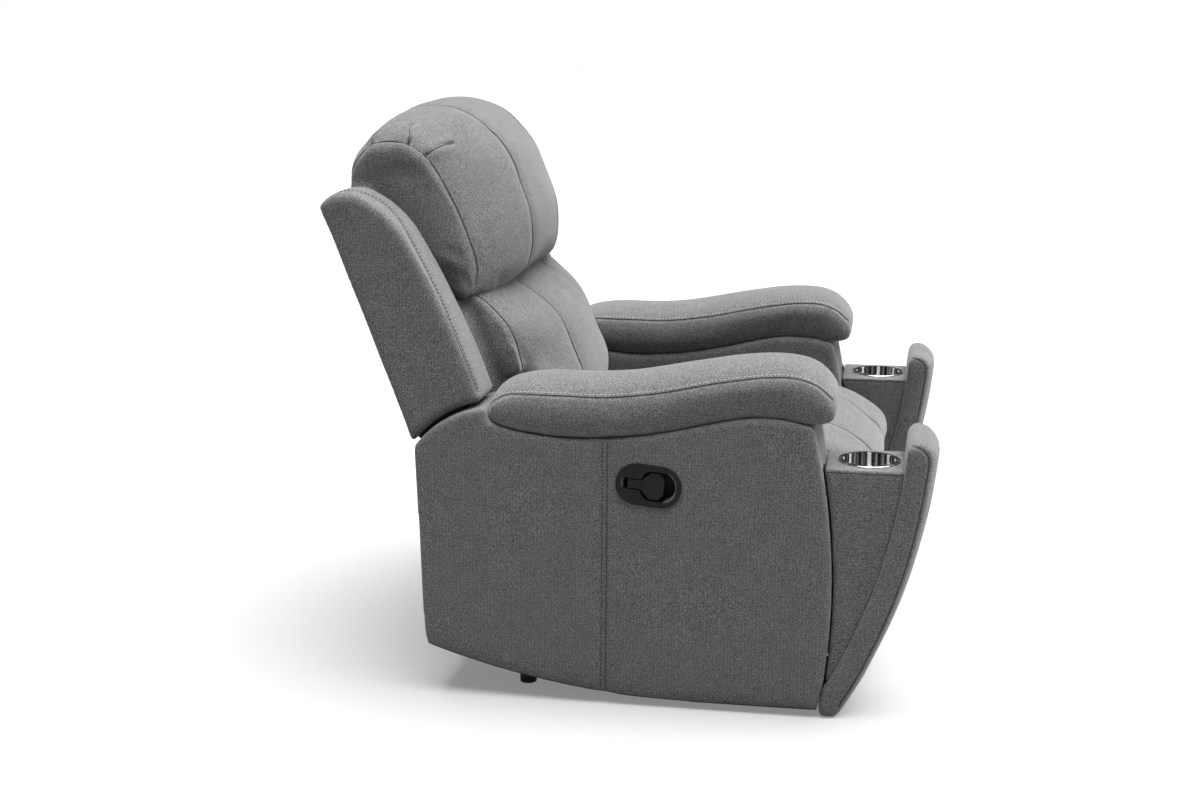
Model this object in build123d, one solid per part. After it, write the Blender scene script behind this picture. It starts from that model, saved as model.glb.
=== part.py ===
"""Recliner chair, one STEP file for each sub-component, in millimetres.

+Z is up, the floor is Z = 0, the chair faces -Y and the sitter's right hand is at -X.
Side outlines are drawn as (Y, Z).
"""
import math
import os

from build123d import *

# Shares of a cushion's half width at which its sections lie
LOFT_SHARES = (-1, -0.7, -0.37, 0, 0.37, 0.7, 1)

# Fits
RUN_GAP = 0.08          # radial play of a pin that turns in a hole
SKIN_GAP = 0.4          # soft piece to the piece that it rests on
LAYER_GAP = 2.0         # between two flat links that pass each other

# Widths from the middle outwards
SEAT_HALF = 277.0
SEAT_ARM_GAP = 6.5      # seat cushion to the arm's inner side
ARM_WIDTH = 175.0
ARM_IN = SEAT_HALF + SEAT_ARM_GAP
ARM_OUT = ARM_IN + ARM_WIDTH
ARM_CENTRE = (ARM_IN + ARM_OUT) / 2

# Arms
ARM_FLOOR_GAP = 12.0
ARM_FRONT_FOOT = -337.0
ARM_FRONT_BELLY = -353.0
ARM_FRONT_TOP = -318.0
ARM_BELLY_Z = 185.0
ARM_REAR_FOOT = 352.0
ARM_REAR_TOP = 364.0
ARM_FLAT_END = -120.0   # where the bottom edge starts to rise to the rear
ARM_REAR_RISE = 78.0
OUTER_PANEL = 25.0
INNER_PANEL = 22.0
END_PANEL = 20.0
CAVITY_OUT = ARM_OUT - OUTER_PANEL
CAVITY_IN = ARM_IN + INNER_PANEL
FRAME_POST = 40.0
FRAME_TOP = 468.0
FRONT_RAIL_LOW = 35.0   # underside of the wood rails that the feet carry
REAR_RAIL_LOW = 70.0
PAD_REAR = 238.0
PAD_SEAT = [(PAD_REAR + 2, 500), (150, 477), (40, 475), (-100, 496), (-230, 521), (ARM_FRONT_TOP, 508)]
PAD_HALF = ARM_WIDTH / 2 + 4.5

# Arm pad stations from rear to front: Y, underside, edge seam, crown, how far each side draws in
PAD_STATIONS = [
    (PAD_REAR, 507, 516, 524, 20),
    (PAD_REAR - 12, 486, 530, 548, 5),
    (PAD_REAR - 53, 474, 545, 567, 1),
    (110, 469, 547, 573, 0),
    (30, 469, 547, 575, 0),
    (-60, 482, 558, 588, 0),
    (-150, 500, 577, 605, 0),
    (-230, 514, 590, 615, 0),
    (-285, 514, 591, 613, 0),
    (-322, 512, 580, 600, 2),
    (-345, 514, 560, 578, 10),
    (-355, 532, 548, 556, 24),
]

# Recline
PIVOT = (210.0, 324.0)
ARM_ARC = 198.0         # arm top, about the recline pivot
WING_ARC = ARM_ARC + 8  # wing bottom, about the recline pivot
RECLINE = 38.0
PIVOT_R = 6.0
BACK_LEVER = 85.0       # from the pivot down to the recline link

# Back, drawn on a plane that leans to the rear
BACK_TOP = (522.0, 856.0)
BACK_LEAN = 20.62
BACK_LOW_Z = 300.0
OUTSIDE_BACK = 16.0
BACK_FRAME = 50.0
BACK_OVERHANG = 61.0    # reach of the back over each arm
BACK_HALF = SEAT_HALF + BACK_OVERHANG
BACK_RAIL = 40.0
BACK_SKIRT = 34.0       # outside back below the frame
WING_WIDTH = 100.0

# Head cushion side profiles from the back's top: at its middle and at its end seam
HEAD_MIDDLE = [(-284, -138), (-315, -70), (-239, 114), (-144, 159), (-35, 129), (-3, 69), (-8, 18)]
HEAD_END = [(-234, -150), (-231, -86), (-156, 69), (-98, 101), (-39, 81), (-11, 48), (-10, 16)]
HEAD_GUSSET = 12.0
HEAD_WING_GAP = 14.0
HEAD_HALF = BACK_HALF - HEAD_WING_GAP - HEAD_GUSSET

# Seat
SEAT_TOP = 432.0        # at the cushion's sides
SEAT_THICK = 122.0
SEAT_PLATE_TOP = SEAT_TOP - SEAT_THICK
SEAT_FRONT = -434.0
SEAT_REAR = 158.0
WIRE_R = 1.8
SEAT_CROWN = 18.0

# Lumbar cushion levels: share of its height, front at the middle, front at the side, half width
LUMBAR_LOW = SEAT_TOP + 16
LUMBAR_TOP = BACK_TOP[1] - 159
LUMBAR_LEVELS = [
    (0.0, 124, 178, SEAT_HALF - 19),
    (0.13, 107, 162, SEAT_HALF - 9),
    (0.37, 121, 178, SEAT_HALF - 7),
    (0.55, 141, 204, SEAT_HALF - 5),
    (0.66, 157, 219, SEAT_HALF + 11),
    (0.81, 187, 246, SEAT_HALF + 25),
    (0.93, 223, 273, SEAT_HALF + 25),
    (1.0, 256, 296, SEAT_HALF + 17),
]

# Pods, cups and shields
POD_WIDTH = 150.0
POD_TOP = 437.0
POD_FOOT = 62.0
POD_GAP = 4.0
POD_LENGTH = 122.0      # arm's foremost point to the shield's top, along Y
POD_TOE = 7.0           # pod's depth at its foot
CUP_R = 43.0
CUP_DEPTH = 66.0
CUP_WALL = 1.2
CUP_FLANGE_R = CUP_R + CUP_WALL + 9.3
SHIELD_WIDTH = 165.0
SHIELD_EDGE = 37.0      # thickness at both side edges
SHIELD_CROWN = 12.0     # what the middle adds to that
SHIELD_RISE = 50.0      # top of its rear face above the pod
SHIELD_TOP_ANGLE = 3.3
SHIELD_FLOOR_GAP = 4.0
SHIELD_REAR_ROUND = 12.0
SHIELD_TOP_R = SHIELD_EDGE - SHIELD_REAR_ROUND - 3

# Handle
HANDLE_CENTRE = (-44.5, 399.0)
HANDLE_TILT = 6.0
BEZEL_SIZE = (113.0, 72.0)
BEZEL_RIM = 4.0
BEZEL_DEPTH = 36.0
LEVER_PIN_X = -33.0
LEVER_PIN_DEPTH = 4.0
LEVER_PIN_R = 2.4

# Flat links: distance of each layer from the middle plane, inner face
LINK_T = 4.0
LINK_HALF = 11.0
PIN_R = 4.0
TRACK_DEPTH = 12.0
TRACK_X = ARM_IN - TRACK_DEPTH
BACK_BRACKET_T = 3.6
BACK_BRACKET_X = TRACK_X - 0.7 - BACK_BRACKET_T
BACK_LOW_HALF = BACK_BRACKET_X - 0.2
SEAT_PLATE_X = BACK_BRACKET_X - 1.2 - LINK_T
A_LINK_X = SEAT_PLATE_X - LAYER_GAP - LINK_T
B_LINK_X = A_LINK_X - LAYER_GAP - LINK_T
BOARD_BRACKET_X = B_LINK_X - LAYER_GAP - LINK_T
CONTROL_X = BOARD_BRACKET_X - 1 - LINK_T
THROUGH = (-ARM_IN, 20 - CONTROL_X)     # a cut through every link layer
TRACK_WALL = 2.5
TRACK_Z = (SEAT_PLATE_TOP - 85, SEAT_PLATE_TOP - 53)
TRACK_Y = (-255.0, 150.0)

# Footrest scissor, folded: hinge on the seat plate, slope of its line, bar length and bar angles
SCISSOR_HINGE = (-236.0, SEAT_PLATE_TOP - 74)
SCISSOR_SLOPE = 15.0
BAR = 212.0
ANGLE_FOLDED = 74.0
ANGLE_OPEN = 18.0
FRONT_LINK_TAIL = 38.0
BOARD_TURN = 84.0
BOARD_OFFSET = 19.0     # board's rear face in front of its hinge
BOARD_T = 15.0
BOARD_RISE = 12.0       # board's top edge above its hinge
BOARD_LENGTH = 214.0
BOARD_HALF = BOARD_BRACKET_X - 10
FOOT_PAD_T = 45.0
FOOT_PAD_HALF = SEAT_HALF - 5
CONTROL_SEAT = 35.0     # control pin, measured along the bisector of its two places
OPEN_PIVOT_R = 10.2     # wide eye at each opened pivot

# Recline link
RECLINE_LINK = 110.0


def forward(point, angle, distance):
    """Point reached from (Y, Z) at an angle above the forward direction."""
    turn = math.radians(angle)
    return (point[0] - distance * math.cos(turn), point[1] + distance * math.sin(turn))


def middle(first, second):
    return ((first[0] + second[0]) / 2, (first[1] + second[1]) / 2)


def around_pivot(y, radius):
    """Point above the recline pivot at this Y and radius."""
    return (y, PIVOT[1] + math.sqrt(radius**2 - (y - PIVOT[0]) ** 2))


def slab(edges, x_low, x_high):
    """Solid between two X values from an outline drawn as (Y, Z)."""
    face = Plane.YZ.offset(x_low) * make_face(edges)
    return extrude(face, amount=x_high - x_low, dir=(1, 0, 0))


def block(x, y, z):
    """Box from three (low, high) pairs."""
    size = [high - low for low, high in (x, y, z)]
    centre = [(high + low) / 2 for low, high in (x, y, z)]
    return Pos(*centre) * Box(*size)


def rod(point, x_low, x_high, radius):
    """Round bar along X through (Y, Z)."""
    bar = Cylinder(radius, x_high - x_low, align=(Align.CENTER, Align.CENTER, Align.MIN))
    return Pos(x_low, *point) * Rot(0, 90, 0) * bar


def bar(start, end, x_inner, thickness=LINK_T, half=LINK_HALF):
    """Flat bar with round ends on the right side, between two (Y, Z) points."""
    length = math.dist(start, end)
    angle = math.degrees(math.atan2(end[1] - start[1], end[0] - start[0]))
    outline = Pos(*middle(start, end)) * Rot(0, 0, angle) * SlotCenterToCenter(length, 2 * half)
    face = Plane.YZ.offset(-x_inner - thickness) * outline
    return extrude(face, amount=thickness, dir=(1, 0, 0))


def mirrored(shape):
    return mirror(shape, about=Plane.YZ)


def both(shape):
    """Right and left copy as one group of solids."""
    return Compound(children=[shape.solid(), mirrored(shape).solid()])


def save(shape, name):
    export_step(shape, f"parts/{name}.step")


def save_pair(shape, name):
    save(shape, f"right_{name}")
    save(mirrored(shape), f"left_{name}")


def arm_front(shift):
    """Front edge of an arm from top to foot, moved forward by a shift."""
    return ThreePointArc(
        (ARM_FRONT_TOP - shift, PAD_SEAT[-1][1]),
        (ARM_FRONT_BELLY - shift, ARM_BELLY_Z),
        (ARM_FRONT_FOOT - shift, ARM_FLOOR_GAP),
    )


def arm_outline():
    rear_foot = (ARM_REAR_FOOT, ARM_FLOOR_GAP + ARM_REAR_RISE)
    rear_top = around_pivot(ARM_REAR_TOP, ARM_ARC)
    arc_end = around_pivot(PAD_SEAT[0][0], ARM_ARC)
    arc_middle = around_pivot((ARM_REAR_TOP + PAD_SEAT[0][0]) / 2, ARM_ARC)
    flat_end = (ARM_FLAT_END, ARM_FLOOR_GAP)
    return [
        Line((ARM_FRONT_FOOT, ARM_FLOOR_GAP), flat_end),
        TangentArc(flat_end, rear_foot, tangent=(1, 0)),
        Line(rear_foot, rear_top),
        ThreePointArc(rear_top, arc_middle, arc_end),
        Line(arc_end, PAD_SEAT[0]),
        Spline(*PAD_SEAT),
        arm_front(0),
    ]


def handle_plane():
    """Forward, up and outward at the middle of the handle."""
    tilt = math.radians(HANDLE_TILT)
    origin = (-ARM_OUT, *HANDLE_CENTRE)
    return Plane(origin, x_dir=(0, -math.cos(tilt), -math.sin(tilt)), z_dir=(-1, 0, 0))


def on_handle(sketch, low, high):
    """Extrude a sketch of the handle between two outward heights."""
    return extrude(handle_plane().offset(low) * sketch, amount=high - low, dir=(-1, 0, 0))


def bezel_body(margin):
    length, height = BEZEL_SIZE
    return SlotOverall(length - 13 + margin, height - 14 + margin)


def lever_pin(radius, half_length):
    pin = Rot(90, 0, 0) * Cylinder(radius, 2 * half_length)
    return handle_plane() * Pos(LEVER_PIN_X, 0, -LEVER_PIN_DEPTH) * pin


def cable_path():
    y, z = HANDLE_CENTRE
    start = (-ARM_OUT + BEZEL_DEPTH, y + 16, z)
    bend_high = (-ARM_OUT + BEZEL_DEPTH + 42, y + 16, z)
    bend_low = (-CAVITY_IN - 34, -130, TRACK_Z[1] + 12)
    end = (-ARM_IN + 6, -130, TRACK_Z[1] + 12)
    return FilletPolyline(start, bend_high, bend_low, end, radius=28), start


def arms():
    outline = arm_outline()
    outer = slab(outline, -ARM_OUT, -CAVITY_OUT)
    inner = slab(outline, -CAVITY_IN, -ARM_IN)
    save(outer - on_handle(bezel_body(1), -OUTER_PANEL - 1, 1), "right_arm_outer_panel")
    save(mirrored(outer), "left_arm_outer_panel")

    path, start = cable_path()
    cable = sweep(Plane(start, z_dir=(1, 0, 0)) * Circle(3), path=path)
    hole = rod((-130, TRACK_Z[1] + 12), -CAVITY_IN - 1, -ARM_IN + 1, 3 + SKIN_GAP)
    save(cable, "release_cable")
    save(inner - hole, "right_arm_inner_panel")
    save(mirrored(inner), "left_arm_inner_panel")

    top = PAD_SEAT[-1][1] - 4
    front_band = slab(
        [
            arm_front(0),
            Line((ARM_FRONT_FOOT, ARM_FLOOR_GAP), (ARM_FRONT_FOOT + END_PANEL, ARM_FLOOR_GAP)),
            arm_front(-END_PANEL),
            Line((ARM_FRONT_TOP + END_PANEL, top + 4), (ARM_FRONT_TOP, top + 4)),
        ],
        -CAVITY_OUT,
        -CAVITY_IN,
    )
    front_band -= block((-CAVITY_OUT, -CAVITY_IN), (-360, -280), (top, top + 20))
    save_pair(front_band, "arm_front_panel")

    low = (ARM_REAR_FOOT, ARM_FLOOR_GAP + ARM_REAR_RISE)
    high = around_pivot(ARM_REAR_TOP, ARM_ARC)
    inside_high = around_pivot(ARM_REAR_TOP - END_PANEL, ARM_ARC)
    rear_band = slab(
        [
            Line(low, high),
            ThreePointArc(high, around_pivot(ARM_REAR_TOP - END_PANEL / 2, ARM_ARC), inside_high),
            Line(inside_high, (low[0] - END_PANEL, low[1])),
            Line((low[0] - END_PANEL, low[1]), low),
        ],
        -CAVITY_OUT,
        -CAVITY_IN,
    )
    save_pair(rear_band, "arm_rear_panel")

    across = (-CAVITY_OUT, -CAVITY_IN)
    first = arm_front(0).bounding_box().max.X + END_PANEL + 2
    last = min(ARM_REAR_FOOT, ARM_REAR_TOP) - END_PANEL - 4
    frame = block(across, (first, first + FRAME_POST), (FRONT_RAIL_LOW, FRAME_TOP))
    frame += block(across, (last - FRAME_POST, last), (REAR_RAIL_LOW + 16, FRAME_TOP))
    frame += block(across, (first, last), (FRAME_TOP - 26, FRAME_TOP))
    frame += block(across, (first, 78), (FRONT_RAIL_LOW, FRONT_RAIL_LOW + 45))
    frame += block(across, (40, last - FRAME_POST / 2), (REAR_RAIL_LOW, REAR_RAIL_LOW + 28))
    save_pair(frame & slab(outline, *across), "arm_frame")


def pad_section(station):
    y, low, seam, crown, drawn_in = station
    half = PAD_HALF - drawn_in
    side = (low + seam) / 2
    edges = [
        Line((-half + 9, low), (half - 9, low)),
        ThreePointArc((half - 9, low), (half, side), (half - 5, seam)),
        ThreePointArc((half - 5, seam), (0, crown), (-half + 5, seam)),
        ThreePointArc((-half + 5, seam), (-half, side), (-half + 9, low)),
    ]
    return Plane.XZ.offset(-y) * Pos(-ARM_CENTRE, 0) * make_face(edges)


def arm_pads():
    pad = loft([pad_section(station) for station in PAD_STATIONS])
    below = [
        Spline(*[(y, z + SKIN_GAP) for y, z in PAD_SEAT]),
        Line((PAD_SEAT[-1][0], PAD_SEAT[-1][1] + SKIN_GAP), (PAD_SEAT[-1][0], 400)),
        Line((PAD_SEAT[-1][0], 400), (PAD_SEAT[0][0], 400)),
        Line((PAD_SEAT[0][0], 400), (PAD_SEAT[0][0], PAD_SEAT[0][1] + SKIN_GAP)),
    ]
    pad -= slab(below, -ARM_OUT - 30, -ARM_IN + 30)
    save_pair(pad, "arm_pad")


def front_y(z):
    """Y of the arm's front edge at a height."""
    edge = arm_front(0).edge()
    side = 1 if edge.arc_center.X > ARM_FRONT_BELLY else -1
    return edge.arc_center.X - side * math.sqrt(edge.radius**2 - (z - edge.arc_center.Y) ** 2)


def shield_circle():
    """Centre and radius of the shield's rear face, from its top down to the pod's foot."""
    top = (arm_front(POD_LENGTH).bounding_box().min.X, POD_TOP + SHIELD_RISE)
    drop = (front_y(POD_FOOT) - POD_GAP - POD_TOE - top[0], POD_FOOT - top[1])
    lean = math.radians(SHIELD_TOP_ANGLE)
    inward = drop[0] * math.cos(lean) + drop[1] * math.sin(lean)
    radius = (drop[0] ** 2 + drop[1] ** 2) / (2 * inward)
    return (top[0] + radius * math.cos(lean), top[1] + radius * math.sin(lean)), radius


def shield_rear(z):
    """Y of the shield's rear face at a height."""
    centre, radius = shield_circle()
    return centre[0] - math.sqrt(radius**2 - (centre[1] - z) ** 2)


def cup_y():
    """Middle of the pod, between the arm and the shield."""
    return (front_y(POD_TOP - CUP_DEPTH) - POD_GAP + shield_rear(POD_TOP)) / 2


def pods():
    low = POD_FOOT
    half_up = (POD_FOOT + POD_TOP) / 2
    top_rear = (front_y(POD_TOP) - POD_GAP, POD_TOP)
    top_front = (shield_rear(POD_TOP), POD_TOP)
    low_rear = (front_y(low) - POD_GAP, low)
    low_front = (shield_rear(low), low)
    body = slab(
        [
            Line(top_rear, top_front),
            ThreePointArc(top_front, (shield_rear(half_up), half_up), low_front),
            Line(low_front, low_rear),
            ThreePointArc(low_rear, (front_y(half_up) - POD_GAP, half_up), top_rear),
        ],
        -ARM_CENTRE - POD_WIDTH / 2,
        -ARM_CENTRE + POD_WIDTH / 2,
    )
    floor = POD_TOP - CUP_DEPTH - CUP_WALL - SKIN_GAP
    at_cup = Pos(-ARM_CENTRE, cup_y(), 0)
    upward = (Align.CENTER, Align.CENTER, Align.MIN)
    bore = Cylinder(CUP_R + CUP_WALL + SKIN_GAP, 200, align=upward)
    body -= at_cup * Pos(0, 0, floor) * bore
    save_pair(body, "cup_pod")

    rim_top = POD_TOP + 2.2
    wall = CUP_R + CUP_WALL
    cup = Pos(0, 0, POD_TOP - CUP_DEPTH - CUP_WALL) * Cylinder(
        wall, CUP_DEPTH + CUP_WALL + rim_top - POD_TOP, align=upward
    )
    cup += Pos(0, 0, POD_TOP) * Cylinder(CUP_FLANGE_R, rim_top - POD_TOP, align=upward)
    cup -= Pos(0, 0, POD_TOP - CUP_DEPTH) * Cylinder(CUP_R, 200, align=upward)
    rim = cup.edges().filter_by(GeomType.CIRCLE).sort_by(Axis.Z)[-2:]
    cup = fillet(rim.sort_by(SortBy.RADIUS)[-1], 1.6)
    save_pair(at_cup * cup, "cup")

    centre, radius = shield_circle()
    side = SHIELD_WIDTH / 2
    edge = radius + SHIELD_EDGE
    section = make_face(
        [
            Line((-side, -radius), (side, -radius)),
            Line((side, -radius), (side, -edge)),
            ThreePointArc((side, -edge), (0, -edge - SHIELD_CROWN), (-side, -edge)),
            Line((-side, -edge), (-side, -radius)),
        ]
    )
    turned = Rot(SHIELD_TOP_ANGLE, 0, 0) * section
    shield = Pos(-ARM_CENTRE, *centre) * revolve(turned, axis=Axis.X, revolution_arc=40)
    shield -= block((-ARM_OUT - 50, -ARM_IN + 50), (-900, 300), (-600, SHIELD_FLOOR_GAP))
    arm_top = (ARM_FRONT_TOP - POD_GAP, PAD_SEAT[-1][1])
    foot_y = ARM_FRONT_FOOT - POD_GAP
    arm_zone = [
        arm_front(POD_GAP),
        Polyline((foot_y, ARM_FLOOR_GAP), (foot_y, -50), (0, -50), (0, arm_top[1]), arm_top),
    ]
    shield -= slab(arm_zone, -ARM_OUT - 20, -ARM_IN + 20)
    tops = shield.faces().sort_by(Axis.Z)[-1].edges().filter_by(GeomType.LINE).sort_by(Axis.Y)
    shield = fillet(tops[-1], SHIELD_REAR_ROUND)
    arcs = shield.edges().filter_by(GeomType.CIRCLE).sort_by(Axis.Z)
    crown = [arc for arc in arcs if arc.bounding_box().size.X > SHIELD_WIDTH - 1][-1]
    shield = fillet(crown, SHIELD_TOP_R)
    save_pair(shield, "front_shield")

    clips = []
    for z_low, z_high in ((POD_TOP - 29, POD_TOP - 1), (POD_FOOT + 4, POD_FOOT + 34)):
        plate = slab(
            [
                Line((front_y(z_low) - 0.5, z_low), (front_y(z_high) - 0.5, z_high)),
                Line((front_y(z_high) - 0.5, z_high), (front_y(z_high) - POD_GAP + 0.5, z_high)),
                Line((front_y(z_high) - POD_GAP + 0.5, z_high), (front_y(z_low) - POD_GAP + 0.5, z_low)),
                Line((front_y(z_low) - POD_GAP + 0.5, z_low), (front_y(z_low) - 0.5, z_low)),
            ],
            -ARM_CENTRE - POD_WIDTH / 2 + 9,
            -ARM_CENTRE - POD_WIDTH / 2 + 39,
        )
        clips += [plate.solid(), mirrored(plate).solid()]
    save(Compound(children=clips), "pod_clips")


def handle():
    rim = on_handle(SlotOverall(*BEZEL_SIZE), 0, BEZEL_RIM)
    bezel = rim + on_handle(bezel_body(0), -BEZEL_DEPTH, 0)
    pocket = Pos(16.5, 0) * RectangleRounded(61, 52, 20)
    slot = Pos(-29, 0) * RectangleRounded(38, 19, 6)
    bezel -= on_handle(pocket, -BEZEL_DEPTH + 4, BEZEL_RIM + 1)
    bezel -= on_handle(slot, -BEZEL_DEPTH + 8, BEZEL_RIM + 1)
    bezel -= lever_pin(LEVER_PIN_R, 14)
    save(bezel, "handle_bezel")
    save(lever_pin(LEVER_PIN_R, 14), "handle_pin")

    face = make_face(
        Polyline((-12, 9), (2, 23), (17, 23), (26, 14), (26, -14), (17, -23), (2, -23), (-12, -9), close=True)
    )
    neck = Pos(-20, 0) * Rectangle(30, 15)
    lever = on_handle(face + neck, -2, 3)
    lever += lever_pin(5.5, 7.5)
    lug = Pos(LEVER_PIN_X, 0) * Rectangle(6, 8)
    lever += on_handle(lug, -22, -LEVER_PIN_DEPTH)
    lever -= lever_pin(LEVER_PIN_R + RUN_GAP, 12)
    save(lever, "handle_lever")


def base_frame():
    skirt_low = BACK_LOW_Z - BACK_SKIRT * math.cos(math.radians(BACK_LEAN))
    save(block((-ARM_IN, ARM_IN), (-200, -160), (24, 62)), "front_stretcher")
    save(block((-ARM_IN, ARM_IN), (ARM_REAR_FOOT - 72, ARM_REAR_FOOT - 32), (86, 126)), "rear_stretcher")
    save(block((-ARM_IN, ARM_IN), (ARM_REAR_FOOT - 13, ARM_REAR_FOOT + 5), (80, skirt_low - 2)), "rear_valance")

    feet = []
    for y, height in ((-235.0, FRONT_RAIL_LOW), (185.0, REAR_RAIL_LOW)):
        for x in (-ARM_CENTRE, ARM_CENTRE):
            stem = Cylinder(15, height, align=(Align.CENTER, Align.CENTER, Align.MIN))
            feet.append((Pos(x, y, 0) * stem).solid())
    save(Compound(children=feet), "feet")

    x = (-ARM_IN, -TRACK_X)
    track = block(x, TRACK_Y, TRACK_Z)
    inside = (TRACK_Z[0] + TRACK_WALL, TRACK_Z[1] - TRACK_WALL)
    track -= block((-ARM_IN + TRACK_WALL, -TRACK_X + 1), (-400, 300), inside)
    save_pair(track, "slide_track")

    bolts = block((-ARM_IN, -ARM_IN + 3), (PIVOT[0] - 20, PIVOT[0] + 20), (PIVOT[1] - 20, PIVOT[1] + 20))
    bracket_out = -BACK_BRACKET_X - BACK_BRACKET_T
    bolts += rod(PIVOT, -ARM_IN, bracket_out - 0.2, PIVOT_R + 4)
    bolts += rod(PIVOT, bracket_out - 0.2, -BACK_BRACKET_X + 0.2, PIVOT_R)
    bolts += rod(PIVOT, -BACK_BRACKET_X + 0.2, -BACK_BRACKET_X + 4, PIVOT_R + 4)
    save(both(bolts), "recline_bolts")


def back_plane():
    """Along X, up the rear line and forward from it, from the back's low end."""
    lean = math.radians(BACK_LEAN)
    low_y = BACK_TOP[0] - (BACK_TOP[1] - BACK_LOW_Z) * math.tan(lean)
    return Plane((0, low_y, BACK_LOW_Z), x_dir=(1, 0, 0), z_dir=(0, -math.cos(lean), math.sin(lean)))


def on_back(x, up, out):
    return back_plane() * block(x, up, out)


def frame_front(z):
    """Y of the back frame's front plane at a height."""
    lean = math.radians(BACK_LEAN)
    depth = (OUTSIDE_BACK + BACK_FRAME) / math.cos(lean)
    return BACK_TOP[0] - (BACK_TOP[1] - z) * math.tan(lean) - depth


def back_step():
    """Length of the narrow part between the arms: above it the frame passes over the arm tops."""
    low = back_plane().origin
    lean = math.radians(BACK_LEAN)
    reach = (PIVOT[0] - low.Y, PIVOT[1] - low.Z)
    along = reach[0] * math.sin(lean) + reach[1] * math.cos(lean)
    out = reach[1] * math.sin(lean) - reach[0] * math.cos(lean)
    depth = OUTSIDE_BACK + BACK_FRAME - out
    return along + math.sqrt((WING_ARC + 2) ** 2 - depth**2)


def wing_corner():
    """Where the rear line meets the arc over the arm."""
    lean = math.radians(BACK_LEAN)
    reach = (BACK_TOP[0] - PIVOT[0], BACK_TOP[1] - PIVOT[1])
    along = reach[0] * math.sin(lean) + reach[1] * math.cos(lean)
    across = reach[0] * math.cos(lean) - reach[1] * math.sin(lean)
    step = along - math.sqrt(WING_ARC**2 - across**2)
    return (BACK_TOP[0] - step * math.sin(lean), BACK_TOP[1] - step * math.cos(lean))


def back():
    length = (BACK_TOP[1] - BACK_LOW_Z) / math.cos(math.radians(BACK_LEAN))
    step = back_step()
    skin = (0, OUTSIDE_BACK)
    outside = on_back((-BACK_LOW_HALF, BACK_LOW_HALF), (-BACK_SKIRT, step), skin)
    outside += on_back((-BACK_HALF, BACK_HALF), (step, length - 4), skin)
    save(outside, "outside_back")

    deep = (OUTSIDE_BACK, OUTSIDE_BACK + BACK_FRAME)
    wide_low = step + 5
    wide_high = length - 34
    frame = on_back((-BACK_HALF, BACK_HALF), (wide_high - BACK_RAIL, wide_high), deep)
    frame += on_back((-BACK_HALF, BACK_HALF), (wide_low, wide_low + BACK_RAIL), deep)
    frame += on_back((-BACK_LOW_HALF, BACK_LOW_HALF), (20, 20 + BACK_RAIL), deep)
    for side in (-1, 1):
        upright = sorted((side * BACK_HALF, side * (BACK_HALF - BACK_RAIL)))
        leg = sorted((side * BACK_LOW_HALF, side * (BACK_LOW_HALF - 35)))
        frame += on_back(upright, (wide_low, wide_high), deep)
        frame += on_back(leg, (20, wide_low + BACK_RAIL), deep)
    save(frame, "back_frame")

    corner = wing_corner()
    front = around_pivot(PAD_REAR + 13, WING_ARC)
    under = around_pivot((corner[0] + front[0]) / 2, WING_ARC)
    shoulder = (BACK_TOP[0] - 142, BACK_TOP[1] - 53)
    crest = (BACK_TOP[0] - 66, BACK_TOP[1] + 14)
    chord = middle(front, shoulder)
    front_edge = ThreePointArc(front, (chord[0], chord[1] + 19), shoulder)
    top_edge = TangentArc(shoulder, crest, tangent=front_edge % 1)
    wing = slab(
        [
            ThreePointArc(corner, under, front),
            front_edge,
            top_edge,
            TangentArc(crest, BACK_TOP, tangent=top_edge % 1),
            Line(BACK_TOP, corner),
        ],
        -BACK_HALF - WING_WIDTH,
        -BACK_HALF,
    )
    rim = wing.faces().sort_by(Axis.X)[0].edges()
    save_pair(fillet(rim, 7), "wing")

    foot = forward(PIVOT, -90, BACK_LEVER)
    low_z = BACK_LOW_Z + 108
    high_z = BACK_LOW_Z + wide_low * math.cos(math.radians(BACK_LEAN)) - 9
    seat = (frame_front(low_z - 8) + 20, low_z)
    bracket = bar(PIVOT, seat, BACK_BRACKET_X, BACK_BRACKET_T, 18)
    bracket += bar(PIVOT, foot, BACK_BRACKET_X, BACK_BRACKET_T, 14)
    bracket += bar(seat, (frame_front(high_z - 8) + 20, high_z), BACK_BRACKET_X, BACK_BRACKET_T, 16)
    bracket -= rod(PIVOT, *THROUGH, PIVOT_R + RUN_GAP)
    bracket += rod(foot, -BACK_BRACKET_X, -A_LINK_X + 1, PIN_R)
    save_pair(bracket, "back_bracket")


def head_section(x, crown, inset):
    """Side profile between the end and the middle profile, drawn in by an inset."""
    moves = [(1, 0), (1, 0), (0.7, -0.7), (0, -1), (0, -1), (-1, 0), (0, 0)]
    points = []
    for end, mid, move in zip(HEAD_END, HEAD_MIDDLE, moves):
        y = BACK_TOP[0] + end[0] + crown * (mid[0] - end[0]) + inset * move[0]
        z = BACK_TOP[1] + end[1] + crown * (mid[1] - end[1]) + inset * move[1]
        points.append((y, z))
    low, front, brow, top, nape, rear, tail = points
    rest = BACK_TOP[1] - 4
    seat = (frame_front(rest) - 2, rest)
    heel = (frame_front(low[1]) - SKIN_GAP, low[1])
    edges = [
        ThreePointArc(low, front, brow),
        ThreePointArc(brow, top, nape),
        ThreePointArc(nape, rear, tail),
        Line(tail, seat),
        Line(seat, heel),
        Line(heel, low),
    ]
    return Plane.YZ.offset(x) * make_face(edges)


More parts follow.
